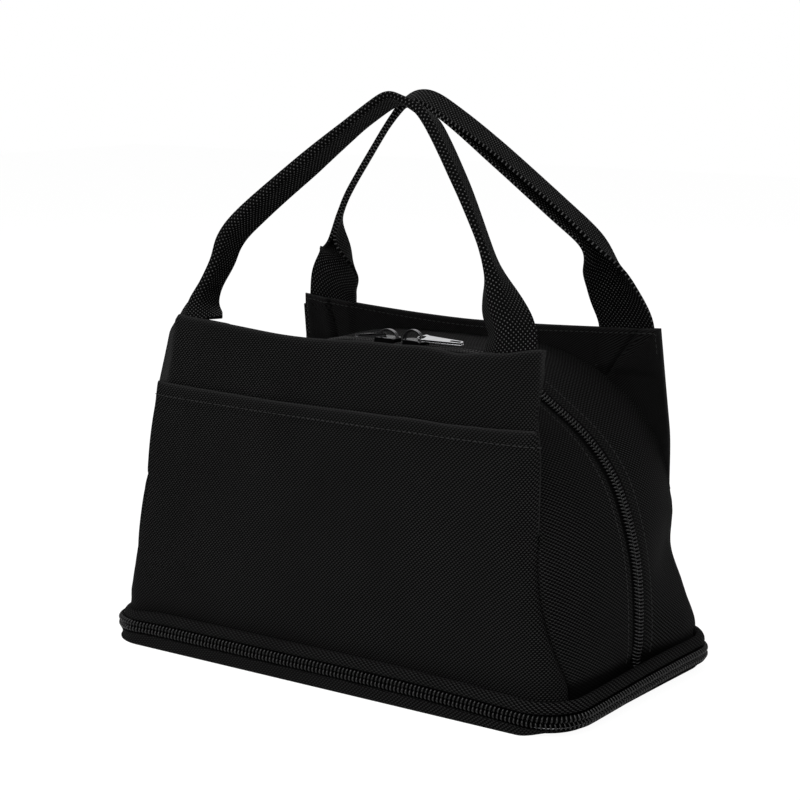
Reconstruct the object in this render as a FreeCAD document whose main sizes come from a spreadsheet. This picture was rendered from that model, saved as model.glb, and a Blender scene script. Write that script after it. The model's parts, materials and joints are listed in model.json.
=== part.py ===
import FreeCAD, Part
import math
import os

import Sketcher
from FreeCAD import Placement, Rotation, Vector

# Soft insulated lunch bag. Two sewn halves meet at a zip that runs up one end, over the top and
# down the other end. Webbing handles stand on the flaps, and a second zip round the base lets the
# upper part rise on a folded gusset. Millimetres and degrees; +Z is up, -Y is the front, and the
# origin is under the middle of the base.

DIMENSIONS = {
    # Base outline, and heights in the base from the floor up
    "base_length": 286,
    "base_width": 157,
    "base_corner": 25,
    "base_cloth": 1.2,
    "board_top": 3.6,
    "band_wall": 2.8,
    "band_round": 3.5,
    "band_top": 7.2,
    "floor_film_top": 7.8,
    "floor_inset": 3.6,
    # Base zip: one coil on each side of its middle line, with its tape behind it
    "base_zip_height": 10.7,
    "base_coil_inset": 1.0,
    "base_tape_bottom": 3.0,
    # Welt and binding at the seam above the base zip
    "welt_bottom": 14.2,
    "welt_top": 20.0,
    "welt_depth": 5.5,
    "welt_round": 4.5,
    "binding_depth": 6.0,
    # Folded gusset behind the base zip
    "fold_outer": 5.6,
    "fold_inner": 23.0,
    "fold_top": 13.9,
    "fold_cloth": 0.8,
    # Cloth tab over the ends of the base zip
    "end_tab_length": 22,
    "end_tab_bottom": 2.0,
    "end_tab_top": 10.3,
    # Body envelope
    "body_bottom": 20.3,
    "body_half_length": 137.5,
    "body_half_width": 72,
    "body_top": 161,
    "end_lean": 13.67,
    "front_lean": 8.1,
    "rear_lean": 5.6,
    "shoulder_radius": 86,
    "corner_radius": 18.5,
    "corner_room": 0.5,
    # Flaps that stand above the top, and the pocket
    "flap_top": 175,
    "flap_half_length": 114.5,
    "ear_foot": 92,
    "pocket_top": 139,
    "pocket_hem": 8,
    # Layers, counted inwards from the outer face
    "fabric": 1.0,
    "foam": 4.0,
    "lining": 0.6,
    "facing_cloth": 1.0,
    "pocket_cloth": 1.0,
    "tape": 0.6,
    "webbing": 1.8,
    "seam_room": 0.3,
    # Main zip, counted sideways from its middle plane
    "zip_offset": 3,
    "coil_near": 0.6,
    "coil_far": 3.3,
    "coil_proud": 1.4,
    "tape_near": 1.0,
    "tape_far": 9.0,
    "cloth_near": 4.5,
    "foam_near": 9.3,
    # Handles: flat webbing at the hem, folded in half along the grip
    "webbing_width": 32,
    "strap_reach": 95.5,
    "strap_end_bottom": 152,
    "strap_end_top": 176.6,
    "handle_axis_height": 177.6,
    "handle_axis_room": 0.6,
    "strap_start": 0.4,
    "strap_thickness": 2.0,
    "fold_height": 40.9,
    "fold_reach": 88,
    "grip_height": 119.5,
    "grip_depth": 16,
    "grip_thickness": 4.4,
    "grip_outer_radius": 12,
    "grip_inner_radius": 7,
    "front_handle_lean": 15.4,
    "rear_handle_lean": 18.8,
    # Sliders and pulls
    "slider_length": 13,
    "slider_width": 9,
    "slider_plate": 1.0,
    "slider_gap": 2.4,
    "slider_taper": 0.72,
    "post_half": 0.3,
    "post_reach": 3,
    "under_gap": 3.4,
    "under_plate": 0.8,
    "under_width": 4.2,
    "lip": 0.8,
    "lip_drop": 0.9,
    "arch_start": 4.5,
    "arch_end": 5.5,
    "arch_width": 2.6,
    "arch_clear": 2.6,
    "arch_band": 1.2,
    "arch_round": 1.0,
    "pull_length": 25,
    "pull_width": 6.5,
    "pull_thickness": 1.3,
    "pull_bar": 1.3,
    "pull_window": 3.5,
    "pull_round": 3.0,
    "pull_slot_start": 14,
    "pull_slot_end": 22.5,
    "pull_slot_width": 3.0,
    "pull_slot_round": 1.4,
    "left_slider_place": -13.5,
    "right_slider_place": 3,
    "base_slider_place": 26,
    "base_slider_width": 6.2,
    "base_slider_gap": 0.3,
    "base_under_width": 2.6,
    "base_arch_clear": 2.0,
    "base_arch_band": 0.9,
    "base_pull_thickness": 1.0,
}

# Depths of the layer boundaries below the outer face of the body, as sheet expressions
DEPTHS = {
    "hem": "-2 * Sheet.pocket_cloth",
    "pocket": "-Sheet.pocket_cloth",
    "coil": "-Sheet.coil_proud",
    "room": "-Sheet.seam_room",
    "skin": "0",
    "fabric": "Sheet.fabric",
    "tape": "Sheet.fabric + Sheet.tape",
    "facing": "Sheet.fabric + Sheet.facing_cloth",
    "webbing": "Sheet.fabric + Sheet.webbing",
    "foam": "Sheet.fabric + Sheet.foam",
    "lining": "Sheet.fabric + Sheet.foam + Sheet.lining",
}

SIDES = {"front": -1, "rear": 1}
HANDS = {"left": -1, "right": 1}

# Limits well beyond the bag, for spaces that are open on a side
SPAN = "400"
REACH = "200"

# Distance below which two places count as the same
TOUCH = 1e-6

doc = FreeCAD.newDocument("lunch_bag")
sheet = doc.addObject("Spreadsheet::Sheet", "Sheet")
nodes = {}


def fill_sheet():
    """Writes every driving dimension into the sheet under its own name."""
    for row, (name, value) in enumerate(DIMENSIONS.items(), 1):
        sheet.set(f"A{row}", name)
        sheet.set(f"B{row}", str(value))
        sheet.setAlias(f"B{row}", name)
    doc.recompute()


def size(name):
    return float(sheet.get(name))


def node(name, piece):
    """Names a finished sub-part, which is written to a file of that name."""
    piece.Label = name
    nodes[name] = piece
    return piece


# Outlines, pads and rounded edges

def new_body(name):
    return doc.addObject("PartDesign::Body", name)


def outline(body, name, plane, loops, lift="0"):
    """Closed loops of straight edges; two expressions place each corner in the sketch."""
    sketch = body.newObject("Sketcher::SketchObject", name)
    support = next(item for item in body.Origin.OriginFeatures if item.Role == plane)
    sketch.AttachmentSupport = (support, "")
    sketch.MapMode = "FlatFace"
    sketch.setExpression("AttachmentOffset.Base.z", lift)
    first = 0
    for corners in loops:
        count = len(corners)
        turns = [math.tau * step / count for step in range(count)]
        start = [Vector(math.cos(turn), math.sin(turn), 0) for turn in turns]
        for step in range(count):
            sketch.addGeometry(Part.LineSegment(start[step], start[(step + 1) % count]), False)
        for step in range(count):
            after = first + (step + 1) % count
            sketch.addConstraint(Sketcher.Constraint("Coincident", first + step, 2, after, 1))
        for step, corner in enumerate(corners):
            for direction, place, guess in zip(("DistanceX", "DistanceY"), corner, start[step]):
                rule = Sketcher.Constraint(direction, -1, 1, first + step, 1, guess)
                number = sketch.addConstraint(rule)
                sketch.setExpression(f"Constraints[{number}]", place)
        first += count
    return sketch


def pad(body, name, sketch, depth, side="Symmetric", back=False):
    feature = body.newObject("PartDesign::Pad", name)
    feature.Profile = sketch
    feature.SideType = side
    feature.Reversed = back
    feature.setExpression("Length", depth)
    return feature


def round_edges(body, name, feature, picked, radius):
    """Rounds the edges of a feature that the picking rule accepts."""
    doc.recompute()
    edges = [f"Edge{number}" for number, edge in enumerate(feature.Shape.Edges, 1) if picked(edge)]
    rounding = body.newObject("PartDesign::Fillet", name)
    rounding.Base = (feature, edges)
    rounding.setExpression("Radius", radius)
    doc.recompute()
    return rounding


def on_corners(sketch, numbers):
    """A rule that picks the edges standing on the numbered corners of an outline."""
    doc.recompute()
    across = sketch.Placement.Rotation.multVec(Vector(0, 0, 1))
    corners = [sketch.Placement.multVec(sketch.Geometry[number].StartPoint) for number in numbers]

    def stands_on(edge, corner):
        away = [(vertex.Point - corner).cross(across).Length for vertex in edge.Vertexes]
        return len(away) == 2 and max(away) < TOUCH

    return lambda edge: any(stands_on(edge, corner) for corner in corners)


def at_height(height):
    """A rule that picks the edges lying level at a height."""
    def level(edge):
        box = edge.BoundBox
        return abs(box.ZMin - height) < TOUCH and abs(box.ZMax - height) < TOUCH

    return level


def rectangle(left, right, low, high):
    return [(left, low), (right, low), (right, high), (left, high)]


def prism(name, plane, corners, depth, rounded=(), radius="0", lift="0", side="Symmetric"):
    """A bar with the given outline, and some of its long edges rounded."""
    body = new_body(name)
    sketch = outline(body, name + "_outline", plane, [corners], lift)
    feature = pad(body, name + "_pad", sketch, depth, side)
    if rounded:
        round_edges(body, name + "_round", feature, on_corners(sketch, rounded), radius)
    return body


def block(name, low, high):
    """A box between two corners, each given by three expressions."""
    box = doc.addObject("Part::Box", name)
    for axis, length, near, far in zip("xyz", ("Length", "Width", "Height"), low, high):
        box.setExpression(f"Placement.Base.{axis}", near)
        box.setExpression(length, f"({far}) - ({near})")
    return box


def cut(name, base, tool):
    piece = doc.addObject("Part::Cut", name)
    piece.Base = base
    piece.Tool = tool
    return piece


def common(name, *shapes):
    piece = doc.addObject("Part::MultiCommon", name)
    piece.Shapes = list(shapes)
    return piece


def fuse(name, *shapes):
    piece = doc.addObject("Part::MultiFuse", name)
    piece.Shapes = list(shapes)
    return piece


# Base and seam ring: rounded rectangles, one inside the other

def slab(name, inset, bottom, top):
    """A rounded rectangle that lies a given distance inside the base outline."""
    across = f"(Sheet.base_length / 2 - ({inset}))"
    deep = f"(Sheet.base_width / 2 - ({inset}))"
    corners = rectangle("-" + across, across, "-" + deep, deep)
    height = f"({top}) - ({bottom})"
    radius = f"Sheet.base_corner - ({inset})"
    return prism(name, "XY_Plane", corners, height, range(4), radius, bottom, "One side")


def ring(name, outer, inner, bottom, top):
    """A flat loop between two insets from the base outline."""
    outside = slab(name + "_outside", outer, bottom, top)
    inside = slab(name + "_inside", inner, bottom, top)
    return cut(name, outside, inside)


def rounded_slab(name, top, bottom, level, radius):
    """A slab over the whole base outline, with its edge at one level rounded."""
    body = slab(name, "0", bottom, top)
    round_edges(body, name + "_edge", body.Tip, at_height(level), radius)
    return body


def make_base():
    tray = rounded_slab("tray", "Sheet.band_top", "0", 0, "Sheet.band_round")
    hollow = slab("tray_hollow", "Sheet.band_wall", "Sheet.base_cloth", "Sheet.band_top")
    node("base_panel", cut("base_panel", tray, hollow))
    floor = "Sheet.floor_inset"
    node("base_board", slab("base_board", floor, "Sheet.base_cloth", "Sheet.board_top"))
    node("base_foam", slab("base_foam", floor, "Sheet.board_top", "Sheet.band_top"))
    node("base_lining", slab("base_lining", floor, "Sheet.band_top", "Sheet.floor_film_top"))
    lower = ("Sheet.base_zip_height - Sheet.coil_far", "Sheet.base_zip_height - Sheet.coil_near")
    upper = ("Sheet.base_zip_height + Sheet.coil_near", "Sheet.base_zip_height + Sheet.coil_far")
    behind = ("Sheet.band_wall", "Sheet.band_wall + Sheet.tape")
    coil = ("Sheet.base_coil_inset", "Sheet.band_wall")
    node("base_lower_coil", ring("base_lower_coil", *coil, *lower))
    node("base_lower_tape", ring("base_lower_tape", *behind, "Sheet.base_tape_bottom", lower[1]))
    node("base_upper_coil", ring("base_upper_coil", *coil, *upper))
    node("base_upper_tape", ring("base_upper_tape", *behind, upper[0], "Sheet.welt_bottom"))
    fold = ("Sheet.fold_outer", "Sheet.fold_inner")
    folded = ring("folded_cloth", *fold, "Sheet.floor_film_top", "Sheet.fold_top")
    between = (
        "Sheet.fold_outer",
        "Sheet.fold_inner - Sheet.fold_cloth",
        "Sheet.floor_film_top + Sheet.fold_cloth",
        "Sheet.fold_top - Sheet.fold_cloth",
    )
    node("expansion_gusset", cut("expansion_gusset", folded, ring("fold_gap", *between)))
    rear_face = "Sheet.base_width / 2"
    end_tab = block(
        "base_zip_end_tab",
        ("-Sheet.end_tab_length / 2", rear_face, "Sheet.end_tab_bottom"),
        ("Sheet.end_tab_length / 2", rear_face + " + Sheet.base_cloth", "Sheet.end_tab_top"),
    )
    node("base_zip_end_tab", end_tab)


def make_seam_ring():
    bottom, top, depth = "Sheet.welt_bottom", "Sheet.welt_top", "Sheet.welt_depth"
    rounded = rounded_slab("welt_block", top, bottom, size("welt_top"), "Sheet.welt_round")
    node("base_welt", cut("base_welt", rounded, slab("welt_hole", depth, bottom, top)))
    inner = depth + " + Sheet.binding_depth"
    node("seam_binding", ring("seam_binding", depth, inner, bottom, top))


# Body envelope: an end profile, a side profile and a rounded plan, at any depth

def dome(depth):
    """The end-to-end profile: leaning ends, round shoulders and a flat top."""
    inset = DEPTHS[depth]
    lean = f"({inset}) / cos(Sheet.end_lean)"
    bottom = f"(Sheet.body_half_length - {lean})"
    top = f"(Sheet.body_top - ({inset}))"
    rise = f"({top} - Sheet.body_bottom) * tan(Sheet.end_lean)"
    upper = f"({bottom} - {rise})"
    foot = "Sheet.body_bottom"
    corners = [("-" + bottom, foot), (bottom, foot), (upper, top), ("-" + upper, top)]
    radius = f"Sheet.shoulder_radius - ({inset})"
    return prism("dome_" + depth, "XZ_Plane", corners, SPAN, (2, 3), radius)


def wall_place(side, depth, height):
    """Distance of a wall from the middle plane, at a depth and a height."""
    lean = f"Sheet.{side}_lean"
    rise = f"({height} - Sheet.body_bottom) * tan({lean})"
    return f"(Sheet.body_half_width - ({DEPTHS[depth]}) / cos({lean}) - {rise})"


def wedge(depth):
    """The front-to-rear profile between the two leaning walls, up to the strap ends."""
    foot, top = "Sheet.body_bottom", "Sheet.strap_end_top"
    corners = [
        ("-" + wall_place("front", depth, foot), foot),
        (wall_place("rear", depth, foot), foot),
        (wall_place("rear", depth, top), top),
        ("-" + wall_place("front", depth, top), top),
    ]
    return prism("wedge_" + depth, "YZ_Plane", corners, SPAN)


def plan(depth):
    """An upright bar that rounds the body's corners where they meet the base."""
    inset = f"(Sheet.corner_room - ({DEPTHS[depth]}))"
    across = f"(Sheet.body_half_length + {inset})"
    deep = f"(Sheet.body_half_width + {inset})"
    corners = rectangle("-" + across, across, "-" + deep, deep)
    radius = f"Sheet.corner_radius - ({DEPTHS[depth]})"
    return prism("plan_" + depth, "XY_Plane", corners, SPAN, range(4), radius)


def zone(name, side, near, far=REACH):
    """The space on one side of the zip's middle plane, between two distances from it."""
    middle = "Sheet.zip_offset"
    low, high = f"{middle} + ({near})", f"{middle} + ({far})"
    if SIDES[side] < 0:
        low, high = f"{middle} - ({far})", f"{middle} - ({near})"
    return block(f"{side}_{name}", ("-" + REACH, low, "0"), (REACH, high, REACH))


def panel_outline():
    """Leaning sides up to the foot of the ears, then the free edges of the flap."""
    foot = "(Sheet.ear_foot - Sheet.body_bottom) * tan(Sheet.end_lean)"
    ear = f"(Sheet.body_half_length - {foot})"
    right = [
        ("Sheet.body_half_length", "Sheet.body_bottom"),
        (ear, "Sheet.ear_foot"),
        ("Sheet.flap_half_length", "Sheet.flap_top"),
    ]
    left = [("-" + across, height) for across, height in reversed(right)]
    return prism("panel_outline", "XZ_Plane", right + left, SPAN)


def make_halves():
    layers = ("skin", "fabric", "foam", "lining")
    domes = {depth: dome(depth) for depth in ("coil", "room", *layers, "tape")}
    wedges = {depth: wedge(depth) for depth in ("hem", "pocket", *layers, "facing", "webbing")}
    plans = {depth: plan(depth) for depth in ("hem", *layers)}
    solid = {}
    for depth in layers:
        solid[depth] = common("envelope_" + depth, domes[depth], wedges[depth], plans[depth])
    cloth = cut("cloth_shell", solid["skin"], solid["fabric"])
    foam = cut("foam_shell", solid["fabric"], solid["foam"])
    film = cut("film_shell", solid["foam"], solid["lining"])
    wall_cloth = cut("wall_cloth", wedges["skin"], wedges["fabric"])
    wall_foam = cut("wall_foam", solid["fabric"], wedges["foam"])
    facing_cloth = cut("facing_cloth", wedges["fabric"], wedges["facing"])
    strap_layer = cut("strap_layer", wedges["fabric"], wedges["webbing"])
    tape = cut("tape_arch", domes["fabric"], domes["tape"])
    coil = cut("coil_arch", domes["coil"], domes["fabric"])
    panel = panel_outline()
    for side in SIDES:
        whole = zone("side", side, "0")
        beyond_cloth = zone("cloth_side", side, "Sheet.cloth_near")
        beyond_foam = zone("foam_side", side, "Sheet.foam_near")
        tape_strip = zone("tape_strip", side, "Sheet.tape_near", "Sheet.tape_far")
        coil_strip = zone("coil_strip", side, "Sheet.coil_near", "Sheet.coil_far")
        pieces = {
            "panel": (wall_cloth, panel, plans["skin"], whole),
            "foam": (wall_foam, whole),
            "gusset": (cloth, wedges["fabric"], beyond_cloth),
            "gusset_foam": (foam, wedges["foam"], beyond_foam),
            "lining": (film, beyond_cloth),
            "zip_tape": (tape, tape_strip),
            "zip_coil": (coil, coil_strip),
        }
        for name, shapes in pieces.items():
            node(f"{side}_{name}", common(f"{side}_{name}", *shapes))
        ears = cut(side + "_ears", common(side + "_flap", facing_cloth, panel, whole), domes["room"])
        for hand in HANDS:
            end = strap_end_space(side, hand)
            name = f"{side}_{hand}_strap_end"
            node(name, common(name, strap_layer, end, whole))
            ears = cut(f"{side}_{hand}_facing", ears, end)
        node(side + "_flap_facing", ears)
    make_pocket(wedges, plans["hem"], panel)


def strap_end_space(side, hand):
    """Where one end of a strap is sewn in, from the flap up to the hem."""
    middle = f"{HANDS[hand]} * Sheet.strap_reach"
    half = "Sheet.webbing_width / 2"
    low = (f"{middle} - {half}", "-" + REACH, "Sheet.strap_end_bottom")
    high = (f"{middle} + {half}", REACH, "Sheet.strap_end_top")
    return block(f"{side}_{hand}_strap_space", low, high)


def make_pocket(wedges, corners, panel):
    """A patch sewn to the front panel, double along its turned hem."""
    def strip(name, bottom):
        return block(name, ("-" + REACH, "-" + REACH, bottom), (REACH, "0", "Sheet.pocket_top"))

    patch = cut("pocket_patch", wedges["pocket"], wedges["skin"])
    turned = cut("pocket_turned", wedges["hem"], wedges["pocket"])
    below = common("pocket_cloth", patch, panel, corners, strip("pocket_height", "Sheet.body_bottom"))
    hem_bottom = "Sheet.pocket_top - Sheet.pocket_hem"
    hem = common("pocket_hem", turned, panel, corners, strip("hem_height", hem_bottom))
    node("front_pocket", fuse("front_pocket", below, hem))


# Handles

def handle_axis(side):
    """A point on the line about which a handle swings, just outside its strap."""
    lean = math.radians(size(side + "_lean"))
    height = size("handle_axis_height")
    wall = size("body_half_width") - (height - size("body_bottom")) * math.tan(lean)
    outwards = wall - size("fabric") / math.cos(lean) + size("handle_axis_room")
    return Vector(0, SIDES[side] * outwards, height)


def make_handle(side):
    """One strap: two flat feet that fold up into a narrow grip with a bent top."""
    body = new_body(side + "_handle")
    slope = "atan((Sheet.grip_height - Sheet.fold_height) / Sheet.fold_reach)"
    aside = f"Sheet.grip_thickness / 2 / sin({slope})"
    above = f"Sheet.grip_thickness / 2 / cos({slope})"
    outer, inner = f"(Sheet.fold_reach + {aside})", f"(Sheet.fold_reach - {aside})"
    loop = [
        ("-" + outer, "Sheet.fold_height"),
        ("-" + inner, "Sheet.fold_height"),
        ("0", f"Sheet.grip_height - {above}"),
        (inner, "Sheet.fold_height"),
        (outer, "Sheet.fold_height"),
        ("0", f"Sheet.grip_height + {above}"),
    ]
    face = "Sheet.handle_axis_room"
    sketch = outline(body, side + "_grip", "XZ_Plane", [loop], f"-{face}")
    grip = pad(body, side + "_grip_pad", sketch, "Sheet.grip_depth", "One side", back=True)
    crown = round_edges(body, side + "_crown", grip, on_corners(sketch, [5]), "Sheet.grip_outer_radius")
    round_edges(body, side + "_crook", crown, on_corners(sketch, [2]), "Sheet.grip_inner_radius")
    for hand, sign in HANDS.items():
        foot = f"{sign} * Sheet.strap_reach"
        half = "Sheet.webbing_width / 2"
        flat = rectangle(f"{foot} - {half}", f"{foot} + {half}", face, f"{face} + Sheet.strap_thickness")
        top = f"{sign} * Sheet.fold_reach"
        folded = rectangle(f"{top} - {aside}", f"{top} + {aside}", face, f"{face} + Sheet.grip_depth")
        name = f"{side}_{hand}_foot"
        low = outline(body, name + "_low", "XY_Plane", [flat], "Sheet.strap_start")
        high = outline(body, name + "_high", "XY_Plane", [folded], "Sheet.fold_height")
        loft = body.newObject("PartDesign::AdditiveLoft", name)
        loft.Profile = low
        loft.Sections = [high]
        loft.Ruled = True
    lean = Rotation(Vector(1, 0, 0), -size(side + "_handle_lean"))
    facing = Rotation(Vector(0, 0, 1), 180 if SIDES[side] > 0 else 0)
    body.Placement = Placement(handle_axis(side), facing.multiply(lean))
    node(side + "_handle", body)


# Sliders and pulls: X runs along the zip, Z points away from it, and +Y is the half that the
# slider stays with. Heights count from the outer face of the coils.

def make_slider(name, place, prefix="", lipped=True):
    """Outer plate, thin post between the coils, inner plate on one half, and an arch for the pull."""
    body = new_body(name)
    length, width = "Sheet.slider_length / 2", f"Sheet.{prefix}slider_width / 2"
    gap, clear, band = (f"Sheet.{prefix}{part}" for part in ("slider_gap", "arch_clear", "arch_band"))
    tail = f"{width} * Sheet.slider_taper"
    shield = [("-" + length, "-" + width), ("0", "-" + width), (length, "-" + tail)]
    shield += [(across, deep.lstrip("-")) for across, deep in reversed(shield)]
    plate = outline(body, name + "_shield", "XY_Plane", [shield], gap)
    pad(body, name + "_plate", plate, "Sheet.slider_plate", "One side")
    post = rectangle("-Sheet.post_reach", "Sheet.post_reach", "-Sheet.post_half", "Sheet.post_half")
    stem = outline(body, name + "_post_outline", "XY_Plane", [post], "-Sheet.under_gap")
    pad(body, name + "_post", stem, f"Sheet.under_gap + {gap}", "One side")
    sole = rectangle("-Sheet.post_reach", length, "-Sheet.post_half", f"Sheet.{prefix}under_width")
    under = outline(body, name + "_sole", "XY_Plane", [sole], "-Sheet.under_gap - Sheet.under_plate")
    pad(body, name + "_under", under, "Sheet.under_plate", "One side")
    if lipped:
        flange = rectangle("-" + length, "0", f"{width} - Sheet.lip", width)
        edge = outline(body, name + "_flange", "XY_Plane", [flange], "-Sheet.lip_drop")
        pad(body, name + "_lip", edge, f"Sheet.lip_drop + {gap}", "One side")
    low = f"({gap} + Sheet.slider_plate)"
    bridge = rectangle("-Sheet.arch_start", "Sheet.arch_end", low, f"{low} + {clear} + {band}")
    left, right = f"-Sheet.arch_start + {band}", f"Sheet.arch_end - {band}"
    window = rectangle(left, right, low, f"{low} + {clear}")
    arch = [*bridge[:1], *window[:1], window[3], window[2], window[1], *bridge[1:]]
    sketch = outline(body, name + "_arch_outline", "XZ_Plane", [arch])
    feature = pad(body, name + "_arch", sketch, "Sheet.arch_width")
    round_edges(body, name + "_arch_round", feature, on_corners(sketch, [6, 7]), "Sheet.arch_round")
    body.Placement = place
    node(name, body)


def pull_seat(prefix=""):
    """Middle of the pull's bar inside the arch of its slider, in the slider's own directions."""
    leg = size("arch_end") - size(prefix + "arch_band") / 2
    bar = leg - size("pull_window") / 2 - size("pull_bar") / 2
    height = size(prefix + "slider_gap") + size("slider_plate") + size(prefix + "arch_clear") / 2
    return Vector(bar, 0, height)


def make_pull(name, place, prefix=""):
    """A flat tab with a square window round the arch and a long slot at its free end."""
    body = new_body(name)
    bar, half = "Sheet.pull_bar / 2", "Sheet.pull_width / 2"
    tab = rectangle("-" + bar, "Sheet.pull_length", "-" + half, half)
    opening = "Sheet.pull_window / 2"
    window = rectangle(bar, f"{bar} + Sheet.pull_window", "-" + opening, opening)
    deep = "Sheet.pull_slot_width / 2"
    slot = rectangle("Sheet.pull_slot_start", "Sheet.pull_slot_end", "-" + deep, deep)
    sketch = outline(body, name + "_outline", "XY_Plane", [tab, window, slot])
    feature = pad(body, name + "_pad", sketch, f"Sheet.{prefix}pull_thickness")
    tip = round_edges(body, name + "_tip", feature, on_corners(sketch, [1, 2]), "Sheet.pull_round")
    slot_corners = on_corners(sketch, range(8, 12))
    round_edges(body, name + "_slot", tip, slot_corners, "Sheet.pull_slot_round")
    body.Placement = place
    node(name, body)


def make_sliders():
    upright = Rotation()
    turned = Rotation(Vector(0, 0, 1), 180)
    coil_top = size("body_top") + size("coil_proud")
    right = Placement(Vector(size("right_slider_place"), size("zip_offset"), coil_top), upright)
    left = Placement(Vector(size("left_slider_place"), size("zip_offset"), coil_top), turned)
    make_slider("right_slider", right)
    make_pull("right_pull", right.multiply(Placement(pull_seat(), upright)))
    make_slider("left_slider", left)
    # The left pull has dropped forwards: a quarter turn about the arch's leg
    leg = pull_seat() + Vector(size("pull_bar") / 2 + size("pull_window") / 2, 0, 0)
    quarter = Placement(Vector(), Rotation(Vector(0, 0, 1), 90), leg)
    make_pull("left_pull", left.multiply(quarter).multiply(Placement(pull_seat(), upright)))
    outwards = Rotation(Vector(1, 0, 0), -90)
    coil_face = size("base_width") / 2 - size("base_coil_inset")
    rear = Placement(Vector(size("base_slider_place"), coil_face, size("base_zip_height")), outwards)
    make_slider("base_slider", rear, "base_", lipped=False)
    make_pull("base_pull", rear.multiply(Placement(pull_seat("base_"), upright)), "base_")


def check():
    """Stops before anything is written if an object failed or a sub-part isn't a sound solid."""
    doc.recompute()
    faults = [item.Name for item in doc.Objects if {"Invalid", "Error"} & set(item.State)]
    for name, piece in nodes.items():
        shape = piece.Shape
        if shape.isNull() or not shape.isValid() or not shape.Solids:
            faults.append(name)
    if faults:
        raise RuntimeError("unsound: " + ", ".join(faults))


def write():
    os.makedirs("parts", exist_ok=True)
    for name, piece in nodes.items():
        piece.Shape.exportStep(f"parts/{name}.step")
        print(name, len(piece.Shape.Solids), round(piece.Shape.Volume, 1))


fill_sheet()
make_base()
make_seam_ring()
make_halves()
for handle_side in SIDES:
    make_handle(handle_side)
make_sliders()
check()
write()
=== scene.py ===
# %% [markdown]
# # A soft insulated lunch bag
#
# The bag is cut and sewn: two padded halves meet at a zip that climbs one end, crosses the top and
# runs down the other end. Two webbing handles stand on the flaps, a slip pocket lies on the front,
# and a second zip round the base lets the bag grow. The frame holds every piece as a plain solid in
# its place. This lesson gives each piece its cloth, thread, nylon, film or metal.

# %% Load the frame
import json
import math

import bmesh
import bpy
import numpy as np
from mathutils import Matrix, Vector, noise

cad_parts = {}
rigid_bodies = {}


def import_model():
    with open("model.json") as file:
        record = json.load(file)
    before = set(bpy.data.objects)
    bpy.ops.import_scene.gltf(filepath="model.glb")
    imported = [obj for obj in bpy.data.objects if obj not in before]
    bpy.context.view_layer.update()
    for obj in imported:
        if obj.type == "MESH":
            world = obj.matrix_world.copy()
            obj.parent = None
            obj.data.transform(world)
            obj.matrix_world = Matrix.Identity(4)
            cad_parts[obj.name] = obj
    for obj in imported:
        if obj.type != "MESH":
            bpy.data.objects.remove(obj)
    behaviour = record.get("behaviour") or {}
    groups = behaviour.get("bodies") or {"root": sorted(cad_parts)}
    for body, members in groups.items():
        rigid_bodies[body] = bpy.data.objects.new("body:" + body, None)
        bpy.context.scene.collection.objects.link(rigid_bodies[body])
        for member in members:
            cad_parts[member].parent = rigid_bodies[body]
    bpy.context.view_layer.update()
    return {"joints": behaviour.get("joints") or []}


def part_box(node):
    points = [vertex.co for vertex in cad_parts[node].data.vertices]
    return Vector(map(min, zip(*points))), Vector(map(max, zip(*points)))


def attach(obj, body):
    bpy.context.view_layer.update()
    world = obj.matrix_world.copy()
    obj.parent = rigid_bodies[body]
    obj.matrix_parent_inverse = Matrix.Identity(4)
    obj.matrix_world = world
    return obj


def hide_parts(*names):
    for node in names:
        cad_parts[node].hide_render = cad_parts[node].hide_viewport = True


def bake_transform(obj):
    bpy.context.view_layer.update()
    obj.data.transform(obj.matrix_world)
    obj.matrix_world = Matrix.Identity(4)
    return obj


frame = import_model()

MM = 0.001

# %% [markdown]
# ## Sums for shaders
#
# A weave is arithmetic: count threads, ask which one is on top, round it off. Each step could be a
# Math node placed by hand, but a screen full of wires hides the idea. So a small class wraps a
# socket, and a sum written with it adds the nodes. One method makes every other kind of node.

# %% A socket that takes part in sums
class Wire:
    """A shader value. A sum written with it adds the Math nodes that it needs."""

    def __init__(self, finish, socket):
        self.finish = finish
        self.socket = socket

    def maths(self, operation, *values):
        return self.finish.node("ShaderNodeMath", {"operation": operation}, values)

    def __add__(self, other):
        return self.maths("ADD", self, other)

    def __sub__(self, other):
        return self.maths("SUBTRACT", self, other)

    def __rsub__(self, other):
        return self.maths("SUBTRACT", other, self)

    def __mul__(self, other):
        return self.maths("MULTIPLY", self, other)

    def __pow__(self, other):
        return self.maths("POWER", self, other)

    def __mod__(self, other):
        return self.maths("FLOORED_MODULO", self, other)

    def __lt__(self, other):
        return self.maths("LESS_THAN", self, other)

    def floor(self):
        return self.maths("FLOOR", self)

    __radd__ = __add__


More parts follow.
